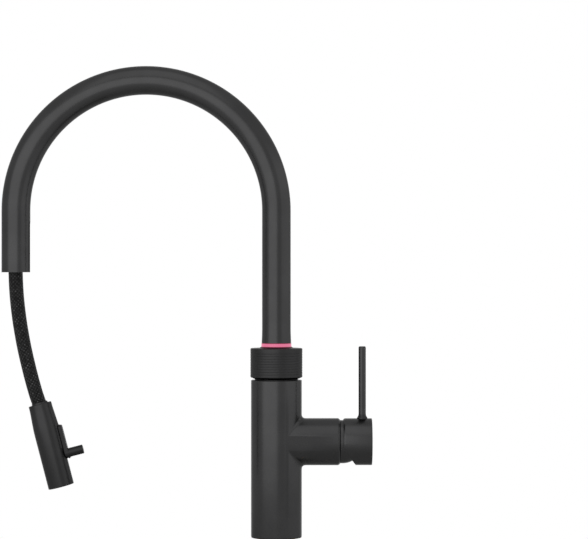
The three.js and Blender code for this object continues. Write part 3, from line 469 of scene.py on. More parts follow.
def extruded(bm, edges):
    """Extrudes the edges where they are. Gives the new vertices and the edges between them."""
    grown = bmesh.ops.extrude_edge_only(bm, edges=edges)["geom"]
    verts = [g for g in grown if isinstance(g, bmesh.types.BMVert)]
    new = set(verts)
    return verts, [g for g in grown if isinstance(g, bmesh.types.BMEdge) and new.issuperset(g.verts)]


def spun(points, sides=None, closed=False):
    """A bmesh turned about Z from a profile of (radius, height) points."""
    bm = bmesh.new()
    verts = [bm.verts.new((r, 0.0, z)) for r, z in points]
    pairs = list(zip(verts, verts[1:])) + ([(verts[-1], verts[0])] if closed else [])
    edges = [bm.edges.new(pair) for pair in pairs]
    bmesh.ops.spin(bm, geom=verts + edges, cent=(0, 0, 0), axis=(0, 0, 1), angle=2 * math.pi,
                   steps=sides or sizes().sides, use_merge=True)
    return outward(bm)


def ring_of(points, steps, sides=None, edge=0.0):
    """A ring turned from a closed profile in millimetres, whose points may have their own rounding."""
    return spun(rounded(mm(points), edge, steps, closed=True), sides, closed=True)


def collar(r_in, r_out, z0, z1, edge=0.0003, sides=None):
    """A ring with rounded edges."""
    profile = rounded([(r_in, z0), (r_out, z0), (r_out, z1), (r_in, z1)], edge, 3, closed=True)
    return spun(profile, sides, closed=True)


def rod(r, z0, z1, edge=0.0, sides=None):
    """A round bar along Z with rounded edges."""
    profile = rounded([(0.0, z0), (r, z0), (r, z1), (0.0, z1)], edge, 3)
    return spun(profile, sides or 48)


def moved(bm, vec):
    bmesh.ops.translate(bm, verts=bm.verts[:], vec=vec)
    return bm


def scaled(bm, vec):
    bmesh.ops.scale(bm, verts=bm.verts[:], vec=vec)
    return bm


def turned(bm, degrees, axis):
    matrix = Matrix.Rotation(math.radians(degrees), 3, axis)
    bmesh.ops.rotate(bm, verts=bm.verts[:], cent=(0, 0, 0), matrix=matrix)
    return bm


def placed(bm, matrix):
    bmesh.ops.transform(bm, matrix=matrix, verts=bm.verts[:])
    return bm


def tilted(bm, place, degrees):
    """Turns a piece about Y and moves it to its place."""
    return placed(bm, Matrix.Translation(place) @ Matrix.Rotation(math.radians(degrees), 4, "Y"))


def along_x(bm, z=BRANCH_Z):
    """Turns a piece made about Z so that it lies about the branch's axis, its height becoming X."""
    return moved(turned(bm, 90, "Y"), (0, 0, z))


def box(x0, x1, half_y, z0, z1):
    """A block that is the same on both sides of y = 0."""
    bm = bmesh.new()
    bmesh.ops.create_cube(bm, size=1.0)
    scaled(bm, (x1 - x0, 2 * half_y, z1 - z0))
    return moved(bm, ((x0 + x1) / 2, 0, (z0 + z1) / 2))


def block(*bounds):
    """The same in millimetres."""
    return box(*(value * MM for value in bounds))


def stadium(half, x0, x1, low, high, edge=0.0):
    """The block and the two round ends of an upright plate, from millimetres."""
    ends = [along_x(rod(half * MM, x0 * MM, x1 * MM, edge, 64), t * MM) for t in (low + half, high - half)]
    return [block(x0, x1, half, low + half, high - half), *ends]


def hexagon(corner, height):
    bm = bmesh.new()
    bmesh.ops.create_cone(bm, cap_ends=True, segments=6, radius1=corner, radius2=corner, depth=height)
    return bm


def linked(name, data):
    """Object of that data in the scene."""
    obj = bpy.data.objects.new(name, data)
    bpy.context.scene.collection.objects.link(obj)
    return obj


def piece(name, bm, sharp=32.0):
    """Object of that mesh, smooth but for edges sharper than the angle."""
    bmesh.ops.remove_doubles(bm, verts=bm.verts[:], dist=1e-7)
    mesh = bpy.data.meshes.new(name)
    bm.to_mesh(mesh)
    bm.free()
    obj = linked(name, mesh)
    smooth(obj, sharp)
    return obj


def smooth(obj, sharp):
    obj.data.shade_smooth()
    obj.data.set_sharp_from_angle(angle=math.radians(sharp))


def carve(obj, *steps, sharp=32.0):
    """Adds, cuts or keeps other solids. Each step is (operation, bmesh)."""
    helpers = []
    for i, (operation, bm) in enumerate(steps):
        helper = piece(f"carving_{i}", bm)
        helpers.append(helper)
        modifier = obj.modifiers.new(f"carve_{i}", "BOOLEAN")
        modifier.operation = operation
        modifier.solver = "EXACT"
        modifier.object = helper
    bpy.context.view_layer.update()
    graph = bpy.context.evaluated_depsgraph_get()
    done = bpy.data.meshes.new_from_object(obj.evaluated_get(graph))
    obj.modifiers.clear()
    spent, obj.data = [obj.data], done
    done.name = obj.name
    for helper in helpers:
        spent.append(helper.data)
        bpy.data.objects.remove(helper)
    for mesh in spent:
        bpy.data.meshes.remove(mesh)
    if not obj.data.polygons:
        raise RuntimeError(f"{obj.name} has no faces after carving")
    smooth(obj, sharp)
    return obj


def dress(obj, body, slot, *nodes, look=None):
    """Gives a piece its finish, its body and the CAD nodes that it stands for."""
    obj.data.materials.clear()
    obj.data.materials.append(finish(look or slot))
    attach(obj, body)
    if nodes:
        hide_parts(*nodes)
    return obj


class PieceOperator:
    """What every operator here shares."""

    bl_options = {"REGISTER", "UNDO"}


# ---- Body and what clamps it ----
def weld_fillet(reach):
    """Concave strip along the line where the branch meets the body."""
    body_r = sizes().body_radius
    across, around = 5, 96
    bm = bmesh.new()
    bmesh.ops.create_circle(bm, cap_ends=False, segments=around, radius=BRANCH_R)
    rows, edges = [list(bm.verts)], list(bm.edges)

    def angle(vert):
        return math.atan2(vert.co.y, vert.co.x)

    def on_body(y):
        return math.sqrt(max(body_r ** 2 - y ** 2, 0.0))

    for _ in range(across):
        verts, edges = extruded(bm, edges)
        by_angle = {round(angle(vert), 4): vert for vert in verts}
        rows.append([by_angle[round(angle(vert), 4)] for vert in rows[0]])
    for i, a in enumerate([angle(vert) for vert in rows[0]]):
        c, sn = math.cos(a), math.sin(a)
        lift = reach * sn * sn + 0.00005
        wide = (BRANCH_R + lift) * c
        corner = Vector((on_body(BRANCH_R * c), BRANCH_R * c, BRANCH_Z + BRANCH_R * sn))
        first = corner + Vector((lift, 0, 0))
        last = Vector((on_body(wide) - 0.00002, wide, BRANCH_Z + (BRANCH_R + lift) * sn))
        for k, row in enumerate(rows):
            t = k / across
            row[i].co = first * (1 - t) ** 2 + corner * (2 * t * (1 - t)) + last * t ** 2
    # The strip's back lies inside the branch and the body, and closes it.
    for vert in extruded(bm, edges)[0]:
        back = Vector((vert.co.y, vert.co.z - BRANCH_Z)).normalized() * (BRANCH_R - 0.0012)
        vert.co = (on_body(back.x) - 0.001, back.x, BRANCH_Z + back.y)
    bmesh.ops.bridge_loops(bm, edges=[e for e in bm.edges if e.is_boundary])
    return outward(bm)


class TAP_OT_body(PieceOperator, bpy.types.Operator):
    """Body with its mixer branch, and the seal under it"""

    bl_idname = "tap.body"
    bl_label = "Body"

    def execute(self, context):
        s = sizes()
        r, top, low = s.body_radius, s.body_top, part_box("body_shell")[0].z
        outer = spun(rounded([(0, low), (r, low, 0.00015), (r, top, s.edge), (0, top)], 0, 5))
        shell = piece("body_with_branch", outer)
        end, wall, mouth_wall, cartridge_r = 0.0564, 0.0025, 0.0031, 0.0178
        branch = along_x(spun(rounded([(0, 0), (BRANCH_R, 0, 0), (BRANCH_R, end - 0.0015, 0.0007),
                                       (0.0195, end, 0.0003), (0, end)], 0, 5), 112))
        # The mouth follows the grip ring's bevel, a full press and a gap below it.
        press, gap, skirt_r, bevel_z = 0.0015, 0.0003, 0.019, 0.1401
        slope = (0.1415 - bevel_z) / (0.02243 - skirt_r)

        def mouth(z):
            return skirt_r + (z - (bevel_z - press - gap)) / slope

        below, above = top - 0.001, top + 0.0002
        carve(
            shell,
            (ADD, branch),
            (CUT, rod(r - wall, -0.001, top - 0.005, sides=96)),
            (CUT, rod(r - mouth_wall, top - 0.006, top + 0.001, sides=96)),
            (CUT, spun([(0, below), (mouth(below), below), (mouth(above), above), (0, above)], 96)),
            (CUT, along_x(rod(cartridge_r, 0, end + 0.001, sides=96))),
        )
        strip = piece("branch_weld", weld_fillet(s.fillet))
        dress(shell, "tap_body", "matt_black", "body_shell")
        dress(strip, "tap_body", "matt_black")
        low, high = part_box("base_seal")
        seal = piece("seal_ring_under_body", collar(0.017, high.x + 0.0003, low.z, high.z, 0.0001))
        dress(seal, "tap_body", "rubber", "base_seal")
        return {"FINISHED"}


def helix(r_low, r_high, pitch, z0, z1, steps=40):
    """Raised thread ridge wound round Z."""
    turns = int((z1 - z0) / pitch)
    bm = bmesh.new()
    foot, crest = pitch * 0.42, pitch * 0.07
    profile = [(r_low, -foot), (r_high, -crest), (r_high, crest), (r_low, foot)]
    face = bm.faces.new([bm.verts.new((r, 0, z0 + pitch / 2 + z)) for r, z in profile])
    bmesh.ops.spin(
        bm, geom=[face], cent=(0, 0, 0), axis=(0, 0, 1), dvec=(0, 0, pitch / steps),
        angle=2 * math.pi * turns, steps=steps * turns)
    return outward(bm)


class TAP_OT_fixing(PieceOperator, bpy.types.Operator):
    """Threaded shank, washers and nut under the worktop"""

    bl_idname = "tap.fixing"
    bl_label = "Fixing"

    def execute(self, context):
        low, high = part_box("mounting_shank")
        foot, head = low.z / MM, high.z / MM
        core = ring_of([(14.5, foot), (15.4, foot), (15.75, foot + 0.5), (15.75, -4.2), (16.4, -3.4),
                        (16.4, head), (14.5, head)], 2, 96, edge=0.0001)
        dress(piece("threaded_shank", core), "tap_body", "brass", "mounting_shank")
        ridge = helix(0.0157, high.x - 0.00002, sizes().thread_pitch, low.z + 0.0004, -0.004)
        dress(piece("shank_thread", ridge, 25.0), "tap_body", "brass")
        for name, node, slot, edge in (
            ("soft_washer", "rubber_washer", "rubber", 0.0006),
            ("plated_washer", "clamp_washer", "steel", 0.0003),
        ):
            lo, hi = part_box(node)
            dress(piece(name, collar(0.0168, hi.x, lo.z, hi.z, edge)), "tap_body", slot, node)
        lo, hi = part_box("fixing_nut")
        flat, hole, ease = 0.0205, 0.0167, 0.001
        corner = flat / math.cos(math.pi / 6)
        prism = turned(hexagon(corner, hi.z - lo.z), 0 if abs(hi.x - corner) < 1e-4 else 30, "Z")
        nut = piece("hexagon_nut", moved(prism, (0, 0, (lo.z + hi.z) / 2)))
        past, slope = flat + 0.0034, 0.0016
        chamfers = spun([(0, lo.z), (flat, lo.z), (past, lo.z + slope),
                         (past, hi.z - slope), (flat, hi.z), (0, hi.z)], 96)
        bore = spun([(0, lo.z - ease), (hole + ease, lo.z - ease), (hole + ease, lo.z), (hole, lo.z + ease),
                     (hole, hi.z - ease), (hole + ease, hi.z), (hole + ease, hi.z + ease),
                     (0, hi.z + ease)], 96)
        carve(nut, (KEEP, chamfers), (CUT, bore), sharp=20.0)
        dress(nut, "tap_body", "brass", "fixing_nut")
        return {"FINISHED"}


class TAP_OT_tails(PieceOperator, bpy.types.Operator):
    """Copper tails with threaded ends"""

    bl_idname = "tap.tails"
    bl_label = "Tails"

    def execute(self, context):
        for node in ("cold_inlet", "hot_inlet", "mixed_outlet", "boiling_inlet"):
            lo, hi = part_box(f"{node}_tail")
            x, y = (lo.x + hi.x) / 2, (lo.y + hi.y) / 2
            pipe = moved(collar(0.002, 0.003, lo.z, hi.z, 0.0002, 40), (x, y, 0))
            dress(piece(f"{node}_pipe", pipe), "tap_body", "copper", f"{node}_tail")
            lo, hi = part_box(f"{node}_end")
            low, high = lo.z / MM, hi.z / MM
            profile = [(3.2, low), (3.55, low)]
            z = low + 0.5
            while z < high - 2.6:
                profile += [(3.88, z), (3.88, z + 0.22), (3.55, z + 0.5)]
                z += 0.9
            profile += [(3.55, high - 1.9), (3.9, high - 1.6), (3.9, high - 0.3), (3.6, high), (3.2, high)]
            end = moved(spun(mm(profile), 40, closed=True), (x, y, 0))
            dress(piece(f"{node}_threaded_end", end, 25.0), "tap_body", "brass", f"{node}_end")
        return {"FINISHED"}


# ---- Mixer handle ----
class TAP_OT_mixer(PieceOperator, bpy.types.Operator):
    """Dome, slanted cap, lever rod and its screw"""

    bl_idname = "tap.mixer"
    bl_label = "Mixer Handle"

    def execute(self, context):
        start, dome_r, dome_in = 0.0565, 0.0191, 0.0176
        dome = [(dome_in, start), (dome_r - 0.0002, start), (dome_r, start + 0.0002)]
        dome += on_sphere(dome_r, 90, 42, 20) + on_sphere(dome_in, 42, 90, 12)
        dome = piece("handle_dome", along_x(spun(dome, 112, closed=True)))
        dress(dome, "tap_body", "matt_black", "dome_cover")

        cavity, socket = dome_r + 0.0005, 0.0033
        socket_angle = math.degrees(math.asin(socket / cavity))
        cap_start, cap_end, cap_r = 0.0593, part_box("handle_cap")[1].x, 0.0207
        mouth_angle = math.degrees(math.acos((cap_start - PIVOT_X) / cavity))
        blank = [(0, 0.082), (socket, 0.082)] + on_sphere(cavity, socket_angle, mouth_angle, 14)
        blank += rounded([(cavity, cap_start), (cap_r - 0.0008, cap_start, 0.0001),
                          (cap_r, cap_start + 0.0013, 0.0006), (cap_r, cap_end, sizes().edge * 0.8),
                          (0, cap_end)], 0, 5)[1:]
        cap = piece("handle_cap_cut", along_x(spun(blank, 112)))
        # The cut leaves a flat that climbs from the cap's mouth towards its underside.
        x0, z0, x1, z1 = 0.0603, -0.006, 0.0704, -0.0207
        climb = math.degrees(math.atan2(z0 - z1, x1 - x0))
        wedge = tilted(box(-0.05, 0.05, 0.03, -0.06, 0.0), (x0, 0, BRANCH_Z + z0), climb)
        cap_top = BRANCH_Z + cap_r
        rod_x, grub_x = 0.07605, 0.080
        r, foot = 0.00324, 0.0046
        deep, step, high = cap_top - 0.0076, cap_top - 0.0008, cap_top + 0.003
        seat = spun([(0, deep), (r + 0.0003, deep), (r + 0.0003, step), (foot + 0.0001, step),
                     (foot + 0.0001, high), (0, high)], 64)
        seat = moved(seat, (rod_x, 0, 0))
        screw_hole = moved(rod(0.0016, BRANCH_Z - cap_r - 0.003, BRANCH_Z - 0.001, sides=32), (grub_x, 0, 0))
        carve(cap, (CUT, wedge), (CUT, seat), (CUT, screw_hole))
        dress(cap, "mixer_handle", "matt_black", "handle_cap")

        lo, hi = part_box("lever_rod")
        lever = spun([(0, lo.z), (r, lo.z)] + rounded([
            (r, hi.z - 0.0009, 0.0005), (r - 0.0006, hi.z, 0.0004), (0, hi.z, 0)], 0, 6), 64)
        dress(piece("lever", moved(lever, (rod_x, 0, 0))), "mixer_handle", "matt_black", "lever_rod")
        collar_foot = spun(rounded([
            (r + 0.00002, cap_top - 0.0007, 0), (foot, cap_top - 0.0007, 0.0001),
            (foot, cap_top + 0.0005, 0.0003), (r + 0.0003, cap_top + 0.0022, 0.0012),
            (r + 0.00002, cap_top + 0.0036, 0)], 0, 6, closed=True), 64, closed=True)
        # The collar wears the darker, rougher grip ring coat. Its darker colour is painted shade at the
        # rod's foot.
        dress(piece("lever_foot_collar", moved(collar_foot, (rod_x, 0, 0))), "mixer_handle", "matt_black",
              look="ring_black")

        lo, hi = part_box("grub_screw")
        screw = piece("grub_screw_hex", moved(rod(0.0013, lo.z, hi.z, 0.0002, 32), (grub_x, 0, 0)))
        carve(screw, (CUT, moved(hexagon(0.00075, 0.002), (grub_x, 0, lo.z))))
        dress(screw, "mixer_handle", "steel", "grub_screw")
        return {"FINISHED"}


# ---- Grip ring and lit ring ----
class TAP_OT_grip_ring(PieceOperator, bpy.types.Operator):
    """Grooved ring that is pressed and turned for boiling water"""

    bl_idname = "tap.grip_ring"
    bl_label = "Grip Ring"

    def execute(self, context):
        s = sizes()
        r, split, highest_groove, high, top = 23.03, 143.5, 162.7, 167.3, 168.4
        profile = [(r - 1.6, split), (r, split)]
        for i in range(s.grooves - 1, -1, -1):
            z, deep = highest_groove - i * s.groove_pitch / MM, r - s.groove_depth / MM
            profile += [(r, z - 0.40, 0.12), (deep, z - 0.10, 0.08), (deep, z + 0.10, 0.08),
                        (r, z + 0.40, 0.12)]
        profile += [(r, high, 0.75), (15.5, high + 0.2, 0.6), (13.9, top, 0.12), (13.9, high - 1.2),
                    (r - 1.6, high - 1.8)]
        ring = piece("grip_ring_grooved", ring_of(profile, 4), 40.0)
        dress(ring, "grip_ring", "ring_black", "control_ring")
        skirt = ring_of([(17.6, 137.5), (19, 137.5, 0.1), (19, 140.1, 0.2), (r - 0.6, 141.5, 0.2),
                         (r, 142, 0.2), (r, split), (17.6, split)], 3)
        dress(piece("grip_ring_skirt", skirt), "grip_ring", "ring_black", "ring_skirt")
        return {"FINISHED"}


class TAP_OT_light_ring(PieceOperator, bpy.types.Operator):
    """Lit ring at the foot of the spout"""

    bl_idname = "tap.light_ring"
    bl_label = "Light Ring"

    def execute(self, context):
        low, high = 167.9, 171.5
        lip = high + LIGHT_LIP / MM
        ring = ring_of([(12.4, low), (13.75, low, 0.1), (13.35, 169.0, 0.5), (13.2, high, 0.2),
                        (13.08, lip, 0.1), (12.75, lip), (12.75, high - 0.1), (12.4, high - 0.1)], 3)
        dress(piece("lit_ring_at_spout", ring), "spout", "light", "light_ring")
        return {"FINISHED"}


# ---- Spout ----
def gooseneck(low, end, sides, foot, arc_steps=120):
    """Open tube from the fixed leg over the bend to the free leg. Its foot is (height, radius) pairs."""
    bm = bmesh.new()
    bmesh.ops.create_circle(bm, cap_ends=False, segments=sides, radius=foot[0][1])
    moved(bm, (0, 0, low))
    edges = list(bm.edges)

    def grow(edges, rise):
        verts, edges = extruded(bm, edges)
        bmesh.ops.translate(bm, verts=verts, vec=(0, 0, rise))
        return verts, edges

    z = low
    for height, wide in foot:
        verts, edges = grow(edges, height - z)
        for vert in verts:
            vert.co.xy = vert.co.xy.normalized() * wide
        z = height
    verts, edges = grow(edges, ARC_Z - z)
    bend = bmesh.ops.spin(bm, geom=verts + edges, cent=(-ARC_R, 0, ARC_Z), axis=(0, -1, 0),
                          angle=math.pi, steps=arc_steps)["geom_last"]
    grow([g for g in bend if isinstance(g, bmesh.types.BMEdge)], end - ARC_Z)
    return outward(bm)


class TAP_OT_spout(PieceOperator, bpy.types.Operator):
    """Gooseneck spout with the slot in its free leg"""

    bl_idname = "tap.spout"
    bl_label = "Spout"

    def execute(self, context):
        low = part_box("spout_tube")[0].z + LIGHT_LIP
        foot = [(low + rise, SPOUT_R + flare) for rise, flare in (
            (0.0004, 0.00035), (0.0022, 0.00030), (0.005, 0.00017), (0.0085, 0.00005), (0.012, 0.0))]
        bm = gooseneck(low, SPOUT_END, 96, foot)
        # The wall grows inwards only where the faces of the open tube point outwards.
        outwards = 0.0
        for face in bm.faces:
            middle = face.calc_center_median()
            if middle.z < ARC_Z and middle.x > -0.05:
                outwards += face.normal.dot(middle - Vector((0, 0, middle.z)))
        if outwards < 0:
            bmesh.ops.reverse_faces(bm, faces=bm.faces[:])
        bmesh.ops.solidify(bm, geom=bm.faces[:], thickness=SPOUT_R - SPOUT_BORE)
        tube = piece("gooseneck", bm)
        x, wide, slot_top = -2 * ARC_R, 0.0041, 0.2801
        slot = box(x + 0.004, x + 0.02, wide, SPOUT_END - 0.005, slot_top - wide)
        slot_end = turned(rod(wide, 0.004, 0.02, sides=64), 90, "Y")
        carve(tube, (CUT, slot), (CUT, moved(slot_end, (x, 0, slot_top - wide))))
        dress(tube, "spout", "matt_black", "spout_tube")
        return {"FINISHED"}


# ---- Braided hose ----
def smooth_route(points, steps):
    """Evenly spaced points on a Catmull-Rom curve through the points, and the curve's length."""
    dense, between = [], 24
    for i in range(len(points) - 1):
        p0 = points[max(i - 1, 0)]
        p1, p2 = points[i], points[i + 1]
        p3 = points[min(i + 2, len(points) - 1)]
        for k in range(between):
            t = k / between
            dense.append(0.5 * (2 * p1 + (p2 - p0) * t + (2 * p0 - 5 * p1 + 4 * p2 - p3) * t ** 2
                                + (3 * p1 - p0 - 3 * p2 + p3) * t ** 3))
    dense.append(points[-1])
    travelled = [0.0]
    for a, b in zip(dense, dense[1:]):
        travelled.append(travelled[-1] + (b - a).length)
    out, j = [], 0
    for i in range(steps + 1):
        want = travelled[-1] * i / steps
        while j < len(dense) - 2 and travelled[j + 1] < want:
            j += 1
        part = (want - travelled[j]) / (travelled[j + 1] - travelled[j])
        out.append(dense[j].lerp(dense[j + 1], part))
    return out, travelled[-1]


def strand_height(warp, weft):
    """Height of a plain weave of two families of strands, from -1 to 1."""
    i, j = round(warp), round(weft)
    across_warp, across_weft = 2 * abs(warp - i), 2 * abs(weft - j)
    top = 0.5 * math.cos(math.pi * (weft + i)) + 0.5 * math.sqrt(max(0.0, 1 - across_warp ** 2 * 0.9))
    low = -0.5 * math.cos(math.pi * (warp + j)) + 0.5 * math.sqrt(max(0.0, 1 - across_weft ** 2 * 0.9))
    return max(top, low)


def braided_tube(name, centres, radius, bore, fine_until=None):
    """Tube along the centres whose surface is a braid of crossing strands, with a UV map that follows it."""
    s = sizes()
    sides = s.strands * 6
    pitch = 2 * math.pi * radius / s.strands
    bm = bmesh.new()
    bmesh.ops.create_circle(bm, cap_ends=False, segments=sides, radius=radius)

    def in_order(verts):
        return sorted(verts, key=lambda vert: math.atan2(vert.co.y, vert.co.x) % (2 * math.pi))

    rows, edges, travelled = [in_order(bm.verts)], list(bm.edges), [0.0]
    for a, b in zip(centres, centres[1:]):
        verts, edges = extruded(bm, edges)
        rows.append(in_order(verts))
        travelled.append(travelled[-1] + (b - a).length)
    layer = bm.loops.layers.uv.new("Braid")
    last, side = len(centres) - 1, Vector((0, 1, 0))
    for k, row in enumerate(rows):
        ahead = centres[min(k + 1, last)] - centres[max(k - 1, 0)]
        out = ahead.normalized().cross(side).normalized()
        v = travelled[k] / pitch
        fine = fine_until is None or travelled[k] <= fine_until
        for i, vert in enumerate(row):
            a, u = 2 * math.pi * i / sides, s.strands * i / sides
            height = strand_height(u + v, u - v) if fine else 0.5
            r = radius - s.strand_rise * (1.0 - height)
            vert.co = centres[k] + out * (r * math.cos(a)) + side * (r * math.sin(a))
            vert.index = k * sides + i
    for face in bm.faces:
        ids = [loop.vert.index for loop in face.loops]
        columns = [n % sides for n in ids]
        wraps = max(columns) - min(columns) > sides / 2
        for loop, n, column in zip(face.loops, ids, columns):
            c = column + sides if wraps and column < sides / 2 else column
            loop[layer].uv = (s.strands * c / sides, travelled[n // sides] / pitch)
    bmesh.ops.recalc_face_normals(bm, faces=bm.faces[:])
    ends, rims = [e for e in bm.edges if e.is_boundary], []
    for row, centre in ((rows[0], centres[0]), (rows[-1], centres[-1])):
        rim = extruded(bm, [e for e in ends if e.verts[0] in row and e.verts[1] in row])[0]
        for vert in rim:
            vert.co = centre + (vert.co - centre).normalized() * bore
        rims.append(rim)
    # The first end has a short blind bore, and a face closes the other.
    deep = extruded(bm, [e for e in bm.edges if e.is_boundary and e.verts[0] in rims[0]])[0]
    bmesh.ops.translate(bm, verts=deep, vec=(centres[1] - centres[0]).normalized() * radius)
    bmesh.ops.holes_fill(bm, edges=[e for e in bm.edges if e.is_boundary], sides=0)
    bmesh.ops.recalc_face_normals(bm, faces=bm.faces[:])
    return piece(name, bm, 60.0)


class TAP_OT_hose(PieceOperator, bpy.types.Operator):
    """Braided hose: the free stretch, and the stretch that goes down through the shank"""

    bl_idname = "tap.hose"
    bl_label = "Hose"

    def execute(self, context):
        radius = 0.00635
        points = [Vector((x, 0, z)) for x, z in HOSE_ROUTE]
        steps, path_every = 340, 4
        centres, run = smooth_route(points, steps)
        hose = braided_tube("braided_hose", centres, radius, 0.0040)
        hose.data.materials.append(finish("braid"))
        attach(hose, "spout")
        hose.parent = None
        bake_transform(hose)
        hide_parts("pull_out_hose")
        # Below the worktop only the lower end shows its braid. The rest is hidden in the shank and body.
        lo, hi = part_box("hose_in_body")
        fine, plain, shown = 80, 8, 0.05
        straight = [Vector((0, 0, lo.z + shown * min(k, fine) / fine
                            + (hi.z - lo.z - shown) * max(0, k - fine) / plain))
                    for k in range(fine + plain + 1)]
        lower = braided_tube("braided_hose_below", straight, radius, 0.0042, fine_until=shown + 0.0001)
        dress(lower, "tap_body", "braid", "hose_in_body")
        return {"FINISHED"}


# ---- Spray head ----
class TAP_OT_spray_head(PieceOperator, bpy.types.Operator):
    """Spray head with its switch lever, outlet and swivel ball"""

    bl_idname = "tap.spray_head"
    bl_label = "Spray Head"

    def execute(self, context):
        r, bore, tall, mouth, ball_t, ball_r = 11.47, 9.4, 75.47, 8.2, 69.5, 7.2
        half, plate_low, plate_top, pocket_x = 3.6, 22.8, 53.0, 9.95
        knob_t, lever_t, lever_x, gap, foot_half = 27.0, 50.5, 8.6, 0.3, 2.6
        profile = [(bore, 0, 0.15), (r, 0, 0.5), (r, 53, 8), (r - 0.52, 61, 6), (r - 1.17, 70, 3),
                   (r - 1.25, tall - 0.4, 0.25), (r - 1.6, tall, 0.2), (mouth, tall - 0.9, 0.15),
                   (mouth, ball_t)]
        profile += on_sphere(ball_r + gap, 90, 138, 8, ball_t) + [(5, 61), (bore, 60.5)]
        shell = piece("spray_head_shell", ring_of(profile, 5, 112))
        # Pocket of the switch lever's plate, and the two openings of its feet.
        cuts = stadium(half + 0.45, pocket_x, r + 5, plate_low - 0.6, plate_top + 1.25)
        for middle, below, above in ((knob_t, 3.6, 3.6), (lever_t, 2.4, 2.9)):
            cuts.append(block(bore - 3, pocket_x + 0.1, foot_half + 0.35, middle - below, middle + above))
        carve(shell, *((CUT, cut) for cut in cuts))
        shell.data.transform(HEAD_PLACE)
        dress(shell, "spray_head", "matt_black", "spray_shell", look="head_black")

        # Plate of the switch lever: its upper end slants, and its knob rises from a small fillet.
        x0, foot_x, long_end = pocket_x + gap, pocket_x + 1, plate_top + 0.9
        flat, *ends = stadium(half, x0, 14, plate_low, long_end, 0.0003)
        plate = piece("switch_lever", flat)
        slant = tilted(block(-4, 12, 6, 0, 6), (11 * MM, 0, long_end * MM), 24)
        # Behind its pin the plate's inner face falls away, so that the plate can rock.
        relief = tilted(block(-4, 0, 6, 0, 6), (x0 * MM, 0, lever_t * MM), 8)
        knob = rounded(mm([(0, foot_x), (3.7, foot_x), (3.7, 26.4), (3.68, 27.1, 0.4), (0, 27.1)]), 0, 5)
        knob = scaled(along_x(spun(knob, 64), 0), (1.0, 1.0, 1.08))
        knob = moved(knob, (0, 0, (knob_t + 0.3) * MM))
        fillet = spun(mm([(0, 13), (4.75, 13), (4.65, 14.1), (4.1, 14.5), (3.8, 15.1), (3.69, 15.9),
                          (0, 15.9)]), 64)
        fillet = along_x(scaled(fillet, (1.0, 0.77, 1.0)), knob_t * MM)
        feet = [block(inner, foot_x, foot_half, middle - reach, middle + reach)
                for inner, middle, reach in ((7.8, knob_t, 2.5), (7.3, lever_t, 1.6))]
        pin_hole = moved(turned(rod(1.0 * MM, -9 * MM, 9 * MM, sides=24), 90, "X"),
                         (lever_x * MM, 0, lever_t * MM))
        carve(plate, (ADD, ends[0]), (ADD, ends[1]), (CUT, slant), (CUT, relief), (ADD, fillet), (ADD, knob),
              (ADD, feet[0]), (ADD, feet[1]), (CUT, pin_hole))
        plate.data.transform(HEAD_PLACE)
        # The plate's darker coat is painted shade.
        dress(plate, "spray_switch", "matt_black", "spray_lever", look="switch_black_painted_shade")

        rim = ring_of([(7.6, 0.6, 0.2), (9.1, 0.6, 0.2), (9.1, 11.7), (7.6, 11.7)], 3, 96)
        dress(piece("outlet_rim", placed(rim, HEAD_PLACE)), "spray_head", "black_plastic", "aerator_housing")
        face = piece("outlet_plate", rod(7.3 * MM, 1.0 * MM, 2.6 * MM, 0.0002, 96))
        jets = []
        for circle_r, count in ((0.0, 1), (2.5, 6), (4.7, 12)):
            for i in range(count):
                a = 2 * math.pi * i / count
                spot = (circle_r * math.cos(a) * MM, circle_r * math.sin(a) * MM, 0)
                jets.append((CUT, moved(rod(0.6 * MM, -0.001, 0.004, sides=16), spot)))
        carve(face, *jets)
        face.data.transform(HEAD_PLACE)
        dress(face, "spray_head", "black_plastic", "spray_plate")

        # The ball's neck grips the hose above the head.
        neck = [(7.1, ball_t + 2.1, 0.3), (7.1, tall + 1.4, 0.3), (6.5, tall + 1.4, 0.2), (6.5, tall - 0.6),
                (3.6, tall - 0.6)]
        ball = ring_of([(3.6, ball_t - 6.1)] + on_sphere(ball_r, 147, 90, 12, ball_t) + neck, 3, 96)
        dress(piece("swivel_ball_polished", placed(ball, HEAD_PLACE)), "hose_end", "steel", "swivel_ball",
              look="head_black")
        return {"FINISHED"}


class TAP_OT_inner_finishes(PieceOperator, bpy.types.Operator):
    """Finishes of the pieces that keep their CAD shape"""

    bl_idname = "tap.inner_finishes"
    bl_label = "Inner Finishes"

    def execute(self, context):
        for part in frame["record"]["subparts"]:
            node = frame["nodes"][part["node"]]
            node.data.materials.clear()
            slot = part["material_slot"]
            node.data.materials.append(finish("black_plastic" if slot == "braid" else slot))
        return {"FINISHED"}


